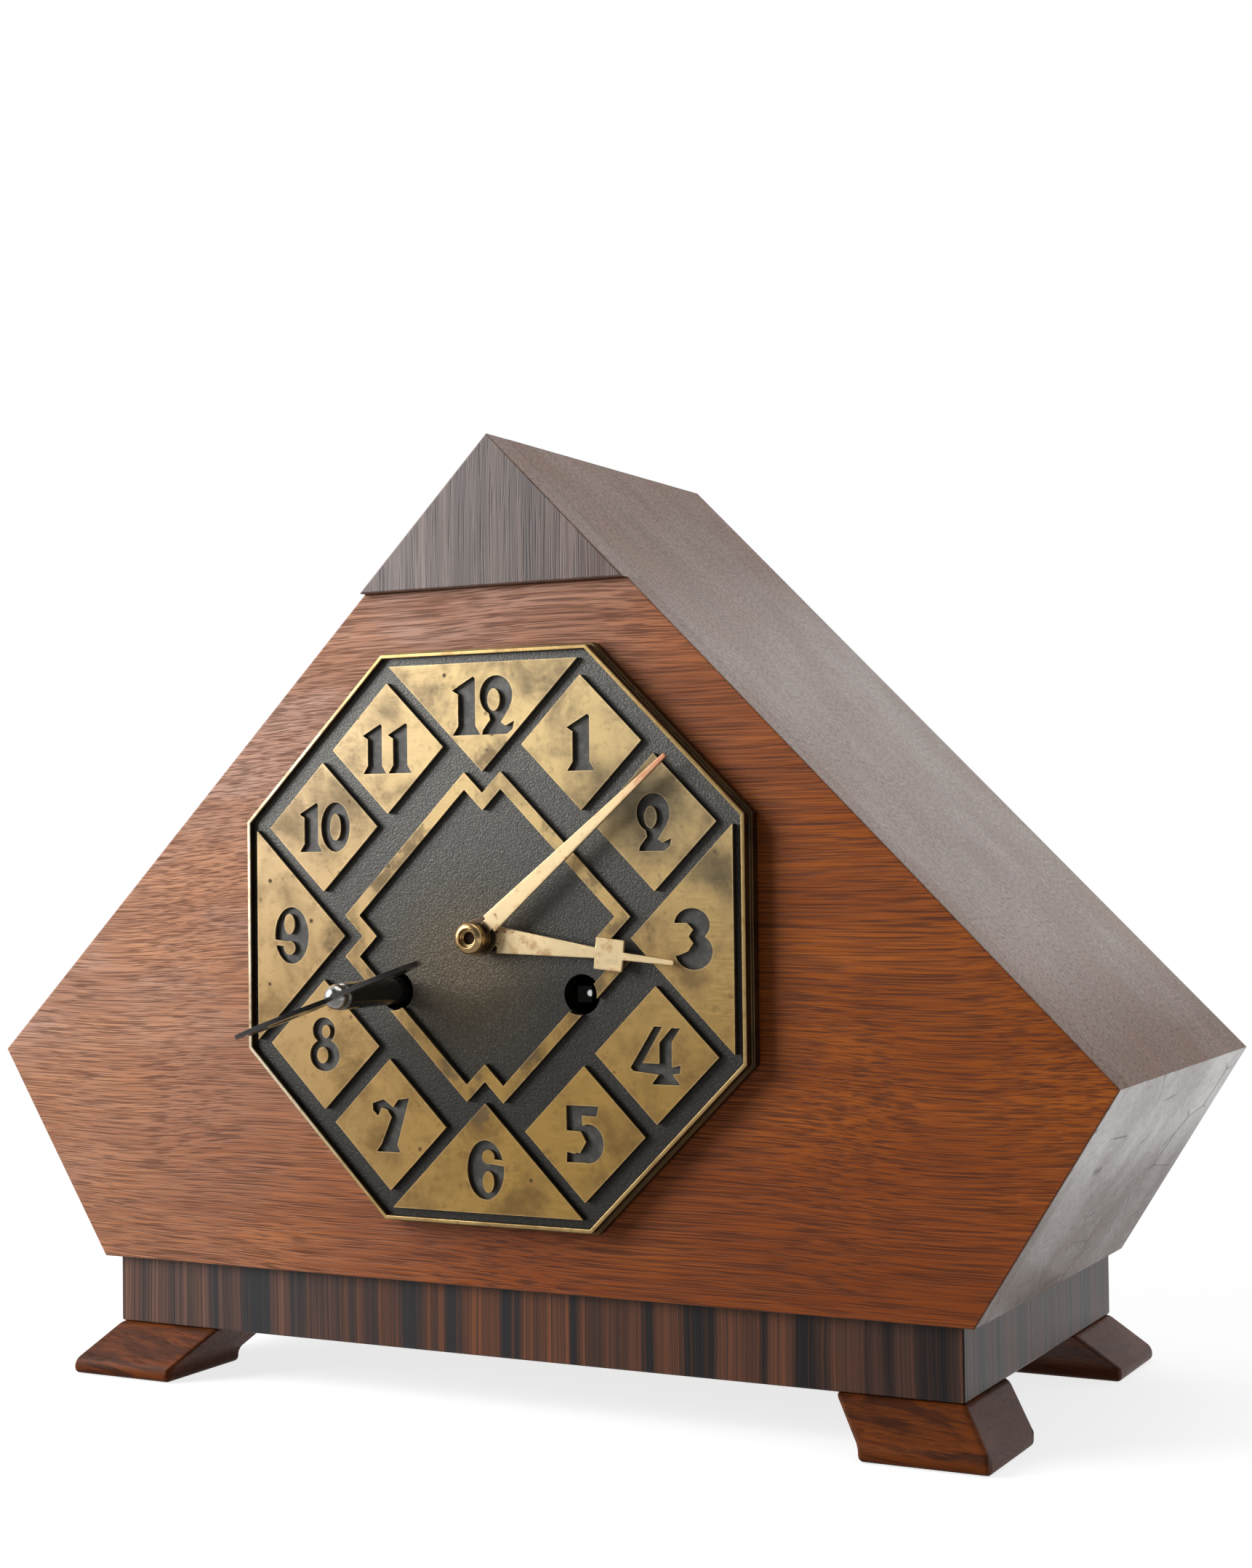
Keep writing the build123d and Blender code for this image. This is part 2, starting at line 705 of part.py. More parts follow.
# Places of the train arbors
great_reach = wheel_reach(great_teeth, great_pinion_teeth, great_module)
second_reach = wheel_reach(second_teeth, second_pinion_teeth, second_module)
second_axis = meet(centre, second_reach, time_axis, great_reach)
third_axis = around(centre, wheel_reach(fine_teeth, fine_pinion_teeth, centre_module), radians(third_deg))
escape_reach = wheel_reach(fine_teeth, fine_pinion_teeth, third_module)
escape_axis = (0, third_axis[1] + sqrt(escape_reach ** 2 - third_axis[0] ** 2))
anchor_axis = (0, escape_axis[1] + anchor_reach)
pin_axis = around(strike_axis, great_reach, radians(pin_deg))
warn_axis = around(pin_axis, second_reach, radians(warn_deg))
fly_axis = around(warn_axis, wheel_reach(warn_teeth, warn_pinion_teeth, warn_module), radians(fly_deg))
hammer_axis = (-hammer_x, dial_z - hammer_drop)
motion_reach = wheel_reach(cannon_teeth, minute_wheel_teeth, motion_module)
motion_axis = (0, dial_z + motion_reach)
hour_module = 2 * motion_reach / (minute_pinion_teeth + hour_wheel_teeth)

# Movement plates with their pivot holes, pillars and fixing screws
plate_outline = [(-plate_w / 2, dial_z + plate_h / 2), (plate_w / 2, dial_z + plate_h / 2),
                 (plate_w / 2, dial_z - plate_h / 2), (-plate_w / 2, dial_z - plate_h / 2)]
plate_front = prism(plate_outline, plate_front_y, inner_front_y)
plate_back = prism(plate_outline, inner_back_y, plate_back_y)
pillar_x = plate_w / 2 - pillar_in
pillar_z = plate_h / 2 - pillar_in
pillar_places = [(x, dial_z + z) for x in (-pillar_x, pillar_x) for z in (-pillar_z, pillar_z)]
pivot_places = [second_axis, third_axis, escape_axis, pin_axis, warn_axis, fly_axis]
front_holes = [(place, pivot_r + running) for place in pivot_places + [anchor_axis, hammer_axis]]
front_holes += [(place, wind_arbor_r + running) for place in (time_axis, strike_axis)]
front_holes += [(centre, centre_arbor_r + running)]
front_holes += [(place, screw_r + running) for place in screw_places]
back_holes = [(place, pivot_r + running) for place in pivot_places + [time_axis, strike_axis, centre]]
back_holes += [(anchor_axis, anchor_arbor_r + running), (hammer_axis, arbor_r + running)]
pillar_holes = [(place, pillar_end_r + snug) for place in pillar_places]
for place, radius in front_holes + pillar_holes:
    plate_front -= rod(radius, plate_front_y - overrun, inner_front_y + overrun, place)
for place, radius in back_holes + pillar_holes:
    plate_back -= rod(radius, inner_back_y - overrun, plate_back_y + overrun, place)

click_places = []
for axis, turn in ((time_axis, radians(click_deg)), (strike_axis, pi - radians(click_deg))):
    click_places.append(around(axis, click_reach, turn))
for place in click_places:
    plate_front += rod(click_stud_r, ratchet_front_y, plate_front_y, place)
plate_front += rod(motion_stud_r, hour_wheel_y, plate_front_y, motion_axis)
nodes["plate_front"] = plate_front
nodes["plate_back"] = plate_back
nodes["pillars"] = Compound(children=[
    rod(pillar_r, inner_front_y, inner_back_y, place)
    + rod(pillar_end_r, plate_front_y + pivot_in, plate_back_y + pillar_nut_h, place)
    for place in pillar_places])
nodes["pillar_nuts"] = Compound(children=[
    prism([around(place, pillar_nut_r, pi / 3 * i) for i in range(6)], plate_back_y,
          plate_back_y + pillar_nut_h)
    - rod(pillar_end_r + snug, plate_back_y - overrun, plate_back_y + pillar_nut_h + overrun, place)
    for place in pillar_places])
nodes["movement_screws"] = Compound(children=[
    rod(screw_r, inner_front_y - screw_len, inner_front_y, place)
    + rod(screw_head_r, inner_front_y, inner_front_y + screw_head_h, place)
    for place in screw_places])

# Time train, each wheel set in mesh with the one before it
great_phase = pi / 2
second_pinion_phase = meshed(great_teeth, great_phase, time_axis, great_pinion_teeth, second_axis)
second_phase = 0
centre_pinion_phase = meshed(second_teeth, second_phase, second_axis, second_pinion_teeth, centre)
centre_phase = 0
third_pinion_phase = meshed(fine_teeth, centre_phase, centre, fine_pinion_teeth, third_axis)
third_phase = 0
escape_pinion_phase = meshed(fine_teeth, third_phase, third_axis, fine_pinion_teeth, escape_axis)

nodes["second_wheel"] = (
    spindle(second_axis, arbor_r)
    + gear(great_pinion_teeth, great_module, second_axis, second_pinion_phase,
           great_y - pinion_over, drum_y + pinion_over)
    + wheel(second_teeth, second_module, second_axis, second_phase, second_y, second_y + wheel_t))
centre_wheel = rod(centre_arbor_r, minute_front_y - hand_nut_h / 2, inner_back_y - end_play, centre)
centre_wheel += rod(pivot_r, inner_back_y - end_play - overrun, plate_back_y - pivot_in, centre)
centre_wheel += gear(second_pinion_teeth, second_module, centre, centre_pinion_phase,
                     second_y - pinion_over, second_y + wheel_t + pinion_over)
nodes["centre_wheel"] = centre_wheel + wheel(fine_teeth, centre_module, centre, centre_phase,
                                             centre_y, centre_y + wheel_t)
nodes["third_wheel"] = (
    spindle(third_axis, fine_arbor_r)
    + gear(fine_pinion_teeth, centre_module, third_axis, third_pinion_phase,
           centre_y - pinion_over, centre_y + wheel_t + pinion_over)
    + wheel(fine_teeth, third_module, third_axis, third_phase, third_y, third_y + wheel_t))

escape_points = []
for i in range(escape_teeth):
    tip = pi / 2 + 2 * pi * (i + 1 / 2) / escape_teeth
    escape_points.append(around(escape_axis, escape_r, tip))
    escape_points.append(around(escape_axis, escape_r - escape_tooth_h, tip + pi / escape_teeth))
escape_disc = prism(escape_points, escape_front_y, escape_front_y + wheel_t)
for i in range(window_count):
    spot = around(escape_axis, escape_r * window_at_share, 2 * pi * i / window_count)
    escape_disc -= rod(escape_r * window_r_share, escape_front_y - overrun,
                       escape_front_y + wheel_t + overrun, spot)
nodes["escape_wheel"] = (
    spindle(escape_axis, fine_arbor_r) + escape_disc
    + gear(fine_pinion_teeth, third_module, escape_axis, escape_pinion_phase,
           third_y - pinion_over, third_y + wheel_t + pinion_over))

# Strike train
pin_pinion_phase = meshed(great_teeth, pi - great_phase, strike_axis, great_pinion_teeth, pin_axis)
pin_phase = 0
warn_pinion_phase = meshed(second_teeth, pin_phase, pin_axis, second_pinion_teeth, warn_axis)
warn_phase = 0
fly_pinion_phase = meshed(warn_teeth, warn_phase, warn_axis, warn_pinion_teeth, fly_axis)

pin_wheel = spindle(pin_axis, arbor_r)
pin_wheel += gear(great_pinion_teeth, great_module, pin_axis, pin_pinion_phase,
                  great_y - pinion_over, drum_y + pinion_over)
pin_wheel += wheel(second_teeth, second_module, pin_axis, pin_phase, second_y, second_y + wheel_t)
for i in range(lift_pins):
    spot = around(pin_axis, lift_pin_at, 2 * pi * (i + 1 / 2) / lift_pins)
    pin_wheel += rod(lift_pin_r, second_y, second_y + wheel_t + lift_pin_h, spot)
nodes["pin_wheel"] = pin_wheel
nodes["warning_wheel"] = (
    spindle(warn_axis, fine_arbor_r)
    + gear(second_pinion_teeth, second_module, warn_axis, warn_pinion_phase,
           second_y - pinion_over, second_y + wheel_t + pinion_over)
    + wheel(warn_teeth, warn_module, warn_axis, warn_phase, warn_y, warn_y + wheel_t))
fly = spindle(fly_axis, fine_arbor_r)
fly += gear(warn_pinion_teeth, warn_module, fly_axis, fly_pinion_phase,
            warn_y - pinion_over, warn_y + wheel_t + pinion_over)
nodes["fly"] = fly + taper(around(fly_axis, -fly_vane_r, 0), fly_vane_t / 2,
                           around(fly_axis, fly_vane_r, 0), fly_vane_t / 2,
                           second_y - pinion_over, second_y - pinion_over + fly_vane_h)

# Barrels, mainsprings, winding arbors with ratchets, and clicks
for name, axis, phase in (("time", time_axis, great_phase), ("strike", strike_axis, pi - great_phase)):
    barrel = gear(great_teeth, great_module, axis, phase, great_y, drum_y)
    barrel += rod(drum_r, drum_y, drum_end_y, axis)
    barrel -= rod(drum_r - drum_wall, drum_y, drum_end_y - drum_wall, axis)
    barrel -= rod(wind_arbor_r + running, great_y - overrun, drum_end_y + overrun, axis)
    nodes[f"{name}_barrel"] = barrel
    coil = rod(drum_r - drum_wall - spring_clear, drum_y + spring_clear,
               drum_end_y - drum_wall - spring_clear, axis)
    nodes[f"{name}_mainspring"] = coil - rod(spring_core_r, drum_y - overrun, drum_end_y + overrun, axis)

    winder = rod(wind_arbor_r, ratchet_front_y, inner_back_y - end_play, axis)
    winder += rod(pivot_r, inner_back_y - end_play - overrun, plate_back_y - pivot_in, axis)
    half = wind_square / 2
    square = [(axis[0] - half, axis[1] + half), (axis[0] + half, axis[1] + half),
              (axis[0] + half, axis[1] - half), (axis[0] - half, axis[1] - half)]
    winder += prism(square, wind_tip_y, ratchet_front_y)
    side = 1 if axis[0] > 0 else -1
    saw = []
    for i in range(ratchet_teeth):
        tip = side * 2 * pi * i / ratchet_teeth
        saw.append(around(axis, ratchet_r, tip))
        saw.append(around(axis, ratchet_r - ratchet_tooth_h, tip))
    nodes[f"{name}_winding_arbor"] = winder + prism(saw, ratchet_front_y, ratchet_back_y)
    pivot = click_places[0 if side > 0 else 1]
    nose_turn = radians(click_deg - click_nose_deg)
    nose_turn = nose_turn if side > 0 else pi - nose_turn
    nose = around(axis, ratchet_r + click_gap + click_nose_r, nose_turn)
    click = taper(pivot, click_boss_r, nose, click_nose_r, ratchet_front_y, ratchet_back_y)
    click += rod(click_boss_r, ratchet_front_y, ratchet_back_y, pivot)
    nodes[f"{name}_click"] = click - rod(click_stud_r + running, ratchet_front_y - overrun,
                                         ratchet_back_y + overrun, pivot)

# Motion work behind the dial
cannon_phase = 0
minute_wheel_phase = meshed(cannon_teeth, cannon_phase, centre, minute_wheel_teeth, motion_axis)
minute_pinion_phase = 0
hour_wheel_phase = meshed(minute_pinion_teeth, minute_pinion_phase, motion_axis, hour_wheel_teeth, centre)

cannon_front_y = cannon_back_y - motion_t - 2 * pinion_over
cannon = rod(cannon_r, minute_front_y, cannon_back_y, centre)
cannon += gear(cannon_teeth, motion_module, centre, cannon_phase, cannon_front_y, cannon_back_y)
nodes["cannon_pinion"] = cannon - rod(centre_arbor_r + snug, minute_front_y - overrun,
                                      cannon_back_y + overrun, centre)
minute_wheel = wheel(minute_wheel_teeth, motion_module, motion_axis, minute_wheel_phase,
                     minute_wheel_y, minute_wheel_y + motion_t)
minute_wheel += gear(minute_pinion_teeth, hour_module, motion_axis, minute_pinion_phase,
                     hour_wheel_y, minute_wheel_y)
nodes["minute_wheel"] = minute_wheel - rod(motion_stud_r + running, hour_wheel_y - overrun,
                                           plate_front_y, motion_axis)
hour_wheel = wheel(hour_wheel_teeth, hour_module, centre, hour_wheel_phase, hour_wheel_y, hour_wheel_back_y)
hour_wheel += rod(pipe_r, hour_front_y, hour_wheel_back_y, centre)
nodes["hour_wheel"] = hour_wheel - rod(cannon_r + running, hour_front_y - overrun,
                                       hour_wheel_back_y + overrun, centre)

# Hands and their nut
minute_turn = radians(90 - minute_deg)
hour_turn = radians(90 - hour_deg)
minute_base = around(centre, blade_from, minute_turn)
minute_hand = taper(minute_base, minute_base_w / 2, around(centre, minute_len, minute_turn),
                    minute_tip_w / 2, minute_front_y, minute_back_y)
minute_hand += taper(centre, hand_neck_w / 2, around(centre, blade_from + hand_neck_w, minute_turn),
                     hand_neck_w / 2, minute_front_y, minute_back_y)
minute_hand += rod(minute_hub_r, minute_front_y, minute_back_y, centre)
nodes["minute_hand"] = minute_hand - rod(cannon_r + snug, minute_front_y - overrun,
                                         minute_back_y + overrun, centre)
plate_spot = around(centre, hour_plate_at, hour_turn)
hour_hand = taper(around(centre, blade_from, hour_turn), hour_base_w / 2, plate_spot, hour_neck_w / 2,
                  hour_front_y, hour_back_y)
hour_hand += taper(centre, hand_neck_w / 2, around(centre, blade_from + hand_neck_w, hour_turn),
                   hand_neck_w / 2, hour_front_y, hour_back_y)
hour_hand += taper(around(plate_spot, -hour_plate_w / 2, hour_turn), hour_plate_w / 2,
                   around(plate_spot, hour_plate_w / 2, hour_turn), hour_plate_w / 2,
                   hour_front_y, hour_back_y)
hour_hand += taper(plate_spot, hour_neck_w / 2, around(centre, hour_len, hour_turn), hour_tip_w / 2,
                   hour_front_y, hour_back_y)
hour_hand += rod(hour_hub_r, hour_front_y, hour_back_y, centre)
nodes["hour_hand"] = hour_hand - rod(pipe_r + snug, hour_front_y - overrun, hour_back_y + overrun, centre)

hand_nut = rod(hand_nut_r, nut_front_y, minute_front_y, centre)
hand_nut = fillet(hand_nut.edges().filter_by(GeomType.CIRCLE).sort_by(Axis.Y)[0], hand_nut_dome_r)
hand_nut -= rod(hand_nut_eye_r, nut_front_y - overrun, nut_front_y + hand_nut_eye_h, centre)
nodes["hand_nut"] = hand_nut - rod(centre_arbor_r + snug, nut_front_y - overrun,
                                   minute_front_y + overrun, centre)

# Winding key, standing in the strike hole with its bow turned as it was left and bent a little down
barrel = rod(key_r, bow_back_y, key_mouth_y, strike_axis)
socket_half = wind_square / 2 + key_square_gap
socket = [(strike_axis[0] + x * socket_half, strike_axis[1] + z * socket_half)
          for x, z in ((-1, 1), (1, 1), (1, -1), (-1, -1))]
barrel -= prism(socket, wind_tip_y - end_play, key_mouth_y + overrun)
bow_outline = [(r * bow_reach, bow_back_y + bow_tip_h - y * (bow_h + bow_tip_h))
               for r, y in bow_wing_shares]
wing = extrude(Pos(0, 0, -bow_t / 2) * make_face(Polyline(*bow_outline, close=True)),
               amount=bow_t, dir=(0, 0, 1))
eye_place = (bow_eye_at, bow_back_y + bow_tip_h - (bow_h + bow_tip_h) / 2)
wing -= Pos(eye_place[0], eye_place[1], 0) * Cylinder(bow_eye_r, bow_t + overrun)
bow = Pos(0, bow_back_y, 0) * Rot(bow_droop_deg, 0, 0) * Pos(0, -bow_back_y, 0) * (wing + mirrored(wing))
barrel += Pos(strike_axis[0], bow_back_y - key_boss_r / 2, strike_axis[1]) * Sphere(key_boss_r)
nodes["winding_key"] = barrel + Pos(strike_axis[0], 0, strike_axis[1]) * Rot(0, -key_turn_deg, 0) * bow

# Anchor with its arbor, and the crutch that guides the pendulum
anchor_back_y = plate_back_y + crutch_gap + crutch_t
pallet_r = escape_r + pallet_gap + pallet_half
anchor = spindle(anchor_axis, anchor_arbor_r, anchor_back_y)
anchor += rod(anchor_boss_r, escape_front_y, escape_front_y + wheel_t, anchor_axis)
for side in (-1, 1):
    pallet = around(escape_axis, pallet_r, pi / 2 + side * radians(pallet_deg))
    anchor += taper(anchor_axis, anchor_arm_half, pallet, pallet_half, escape_front_y,
                    escape_front_y + wheel_t)
crutch_end = (anchor_axis[0], anchor_axis[1] - crutch_drop)
crutch_y = plate_back_y + crutch_gap
pendulum_y = crutch_y + crutch_t + cock_reach / 2
fork_x = rod_r + fork_gap + fork_pin_r
anchor += rod(anchor_boss_r, crutch_y, anchor_back_y, anchor_axis)
anchor += taper(anchor_axis, crutch_half, crutch_end, crutch_half, crutch_y, anchor_back_y)
anchor += taper((-fork_x - fork_pin_r, crutch_end[1]), crutch_half,
                (fork_x + fork_pin_r, crutch_end[1]), crutch_half, crutch_y, anchor_back_y)
for side in (-1, 1):
    anchor += rod(fork_pin_r, crutch_y, pendulum_y + rod_r, (side * fork_x, crutch_end[1]))
nodes["anchor"] = anchor

# Suspension cock on the back plate, with the pin that the pendulum hangs from
cock_y = crutch_y + crutch_t + cock_reach
cock = slab((-cock_x - cock_post_r, cock_x + cock_post_r), (cock_y, cock_y + cock_t),
            (anchor_axis[1] - cock_half_h, anchor_axis[1] + cock_half_h))
for side in (-1, 1):
    cock += rod(cock_post_r, plate_back_y, cock_y + cock_t, (side * cock_x, anchor_axis[1]))
nodes["suspension_cock"] = cock + rod(hang_pin_r, pendulum_y - eye_t, cock_y, anchor_axis)

# Pendulum rod, bob and rating nut
bottom_in_z = case_bottom_z + board_t
rod_end_z = bottom_in_z + pendulum_floor_gap
bob_z = rod_end_z + rod_below + rating_nut_h + bob_r
pendulum_rod = post(rod_r, rod_end_z, anchor_axis[1] - eye_r + rod_r, (0, pendulum_y))
pendulum_rod += rod(eye_r, pendulum_y - eye_t / 2, pendulum_y + eye_t / 2, anchor_axis)
nodes["pendulum_rod"] = pendulum_rod - rod(hang_pin_r + running, pendulum_y - overrun,
                                           pendulum_y + overrun, anchor_axis)
bob = rod(bob_r, pendulum_y - bob_t / 2, pendulum_y + bob_t / 2, (0, bob_z))
bob = chamfer(bob.edges().filter_by(GeomType.CIRCLE), bob_bevel)
nodes["pendulum_bob"] = bob - post(rod_r + snug, bob_z - bob_r - overrun, bob_z + bob_r + overrun,
                                   (0, pendulum_y))
nut_z = bob_z - bob_r - rating_nut_h
nodes["rating_nut"] = (post(rating_nut_r, nut_z, nut_z + rating_nut_h, (0, pendulum_y))
                       - post(rod_r + snug, nut_z - overrun, nut_z + rating_nut_h + overrun,
                              (0, pendulum_y)))

# Strike hammer, and the gong rod in its block on the bottom board
gong_y = plate_back_y + gong_back
head_at = (hammer_axis[0] + hammer_reach, hammer_axis[1] - hammer_dip)
head_z = head_at[1] - hammer_head_h / 2
stem_y = (gong_y - hammer_half, gong_y + hammer_half)
hammer = spindle(hammer_axis, arbor_r, stem_y[1])
hammer += rod(hammer_half + hammer_half, stem_y[0], stem_y[1], hammer_axis)
hammer += taper(hammer_axis, hammer_half, head_at, hammer_half, stem_y[0], stem_y[1])
hammer += post(hammer_head_r, head_z, head_z + hammer_head_h, (head_at[0], gong_y))
tail_turn = atan2(hammer_axis[1] - pin_axis[1], hammer_axis[0] - pin_axis[0])
tail_end = around(pin_axis, lift_pin_at + lift_pin_r + hammer_tail_gap, tail_turn)
tail_y = second_y + wheel_t + end_play
hammer += taper(hammer_axis, hammer_tail_half, tail_end, hammer_tail_end, tail_y,
                second_y + wheel_t + lift_pin_h)
nodes["hammer"] = hammer

gong_z = head_z - strike_gap - gong_r
gong_block_x = case_bottom_w / 2 - gong_block_in
gong_right_x = gong_block_x + gong_in
gong_len = gong_right_x - head_at[0] + gong_past_hammer
gong_rod = Pos(gong_right_x, gong_y, gong_z) * Rot(0, -90, 0) * Cylinder(
    gong_r, gong_len, align=(Align.CENTER, Align.CENTER, Align.MIN))
nodes["gong_rod"] = gong_rod
gong_block = slab((gong_block_x, gong_block_x + gong_block_w),
                  (gong_y - gong_block_d / 2, gong_y + gong_block_d / 2),
                  (bottom_in_z, gong_z + gong_block_over))
nodes["gong_block"] = gong_block - gong_rod

os.makedirs("parts", exist_ok=True)
for name, piece in nodes.items():
    export_step(Pos(0, shift_y, 0) * piece, f"parts/{name}.step")
print(len(nodes), "pieces")
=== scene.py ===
from math import asin, cos, pi, radians, sin

import bmesh
import bpy
from mathutils import Matrix, Vector


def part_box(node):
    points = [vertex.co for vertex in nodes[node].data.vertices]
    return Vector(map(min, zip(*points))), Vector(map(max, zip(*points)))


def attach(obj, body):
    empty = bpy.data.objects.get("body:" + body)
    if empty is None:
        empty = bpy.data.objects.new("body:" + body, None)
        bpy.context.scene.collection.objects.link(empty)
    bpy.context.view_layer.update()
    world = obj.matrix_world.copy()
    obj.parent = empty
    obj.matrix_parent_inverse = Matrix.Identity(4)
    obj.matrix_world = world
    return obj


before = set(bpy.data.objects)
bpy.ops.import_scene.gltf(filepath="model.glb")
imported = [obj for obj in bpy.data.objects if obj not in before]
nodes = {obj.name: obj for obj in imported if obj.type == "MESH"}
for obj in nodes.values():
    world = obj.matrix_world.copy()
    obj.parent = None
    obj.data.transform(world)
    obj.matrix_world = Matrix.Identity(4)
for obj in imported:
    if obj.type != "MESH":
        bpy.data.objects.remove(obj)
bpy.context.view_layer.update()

# A gabled wooden mantel clock with a cast brass dial, seen from its right front.
# Metres, +Z up, front towards -Y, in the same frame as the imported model.

MM = 0.001

# Places that the finishes refer to: the dial's centre, the panel's front face, the brown part of the dial's
# ground, the painted glint on a winding square, two dark patches of the dial, the key's boss with its painted
# highlight.
CENTRE = Vector((0.0, 0.0, 125.0)) * MM
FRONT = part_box("front_panel")[0].y
GLOW = Vector((-6.0, -49.5, 116.0)) * MM
GLINT = Vector((29.7, -48.3, 110.8)) * MM
STAIN = Vector((46.0, -51.5, 159.0)) * MM
SMUDGE = Vector((66.0, -51.5, 143.0)) * MM
BOSS = Vector((-28.1, -77.9, 110.5)) * MM

# Depth of the fine relief, and the share of it that shows.
GRAIN_DEPTH = 0.2 * MM
RIM_DEPTH = 0.3 * MM
CAST_DEPTH = 0.5 * MM
WOOD_RELIEF = 0.35
METAL_RELIEF = 0.1

# Eased edges: corners nearer than this are one, faces flatter than this are whole, edges sharper than
# this are rounded, and large faces hold their shading by this weight.
SAME_CORNER = 0.002 * MM
FLAT_ANGLE = radians(0.4)
SHARP_ANGLE = radians(32)
FACE_WEIGHT = 100

# Hinge leaves and their screws. The rings of a half head are its inset and height, as shares.
LEAF_T = 1.0 * MM
LEAF_W = 14.0 * MM
LEAF_H = 22.0 * MM
SCREW_R = 2.1 * MM
SCREW_H = 0.6 * MM
SLOT_R = 2.05 * MM
SLOT_HALF = 0.3 * MM
SCREW_STEP = 6.5 * MM
SCREW_STAGGER = 1.8 * MM
HEAD_RINGS = ((1.0, 0.2), (1.0, 0.5), (0.93, 0.85), (0.78, 1.0))
HEAD_SIDES = 10
SLOT_FLOOR = (-0.1, 0.3)
FLOOR_SIDES = 24
FIRST_TURN = 0.5
NEXT_TURN = 1.3

# Steel arbors of the wheels.
ARBOR_R = 2.6 * MM
ARBOR_FADE = 0.2 * MM

# Camera and floor.
EYE = Vector((323.0, -596.0, 148.7)) * MM
AIM = Vector((39.14, -45.3, 164.2)) * MM
LEAN = radians(-0.64)
LENS = 69.6
SENSOR = 36.0
NEAR_CLIP = 0.01
FLOOR_HALF = 4.0
FLOOR_DROP = 0.0002


# Short calls for node trees.

def join(tree, value, socket):
    """Link a socket to what another node puts out, or set it to a plain value."""
    if isinstance(value, bpy.types.NodeSocket):
        tree.links.new(value, socket)
    else:
        socket.default_value = value


def put(tree, kind, sockets=None, **settings):
    """Place one node, set it up, and link or set its sockets."""
    made = tree.nodes.new(kind)
    for name, value in settings.items():
        setattr(made, name, value)
    for name, value in (sockets or {}).items():
        join(tree, value, made.inputs[name])
    return made


def reckon(how):
    """A short call for one kind of sum."""
    def work(tree, a, b=0.0):
        return put(tree, "ShaderNodeMath", {0: a, 1: b}, operation=how).outputs[0]
    return work


plus = reckon("ADD")
minus = reckon("SUBTRACT")
times = reckon("MULTIPLY")
larger = reckon("MAXIMUM")
unsigned = reckon("ABSOLUTE")


def blend(tree, share, a, b):
    """Colour a, turning to colour b as share goes from 0 to 1."""
    return put(tree, "ShaderNodeMix", {0: share, 6: a, 7: b}, data_type="RGBA").outputs[2]


def between(tree, share, a, b):
    """Value a, turning to value b as share goes from 0 to 1."""
    return put(tree, "ShaderNodeMix", {0: share, 2: a, 3: b}).outputs[0]


def rise(tree, value, low, high, top=1.0):
    """0 below low, top above high, eased between; low may be the larger one."""
    made = put(tree, "ShaderNodeMapRange", {0: value, 1: low, 2: high, 3: 0.0, 4: top},
               interpolation_type="SMOOTHSTEP")
    return made.outputs[0]


def noise(tree, where, scale=1.0, detail=2.0, rough=0.5, warp=0.0):
    made = put(tree, "ShaderNodeTexNoise", {"Vector": where, "Scale": scale, "Detail": detail,
                                            "Roughness": rough, "Distortion": warp})
    return made.outputs[0]


def cells(tree, where, scale=1.0, feature="F1"):
    made = put(tree, "ShaderNodeTexVoronoi", {"Vector": where, "Scale": scale}, feature=feature)
    return made.outputs["Distance"]


def stretched(tree, where, x, y, z):
    return put(tree, "ShaderNodeVectorMath", {0: where, 1: (x, y, z)}, operation="MULTIPLY").outputs[0]


def axes(tree, where):
    return put(tree, "ShaderNodeSeparateXYZ", {0: where}).outputs


def vector(tree, x, y, z):
    return put(tree, "ShaderNodeCombineXYZ", {0: x, 1: y, 2: z}).outputs[0]


def spot_place(tree):
    return put(tree, "ShaderNodeTexCoord").outputs["Object"]


def outward(tree):
    """The way that a surface looks, as its parts along x, y and z."""
    return axes(tree, put(tree, "ShaderNodeNewGeometry").outputs["Normal"])


def away(tree, where, spot):
    """How far a place is from a spot."""
    return put(tree, "ShaderNodeVectorMath", {0: where, 1: spot}, operation="DISTANCE").outputs["Value"]


def off_axis(tree, place, spot):
    """How far a place is from the axis that runs front to back through a spot."""
    x, _, z = axes(tree, place)
    return away(tree, vector(tree, x, 0.0, z), (spot[0], 0.0, spot[2]))


def group(name, inputs, outputs):
    """An empty node group with named sockets, and its ways in and out."""
    made = bpy.data.node_groups.new(name, "ShaderNodeTree")
    kinds = {"v": "NodeSocketVector", "c": "NodeSocketColor", "f": "NodeSocketFloat"}
    for label, kind, value in inputs:
        socket = made.interface.new_socket(label, in_out="INPUT", socket_type=kinds[kind])
        socket.default_value = value
    for label, kind in outputs:
        made.interface.new_socket(label, in_out="OUTPUT", socket_type=kinds[kind])
    return made, made.nodes.new("NodeGroupInput").outputs, made.nodes.new("NodeGroupOutput").inputs


def use(tree, shared, **values):
    """Place a shared effect with its own values."""
    made = put(tree, "ShaderNodeGroup", node_tree=shared)
    for label, value in values.items():
        join(tree, value, made.inputs[label.replace("_", " ")])
    return made.outputs


def material(name):
    made = bpy.data.materials.new(name)
    made.use_nodes = True
    made.node_tree.nodes.clear()
    return made, made.node_tree


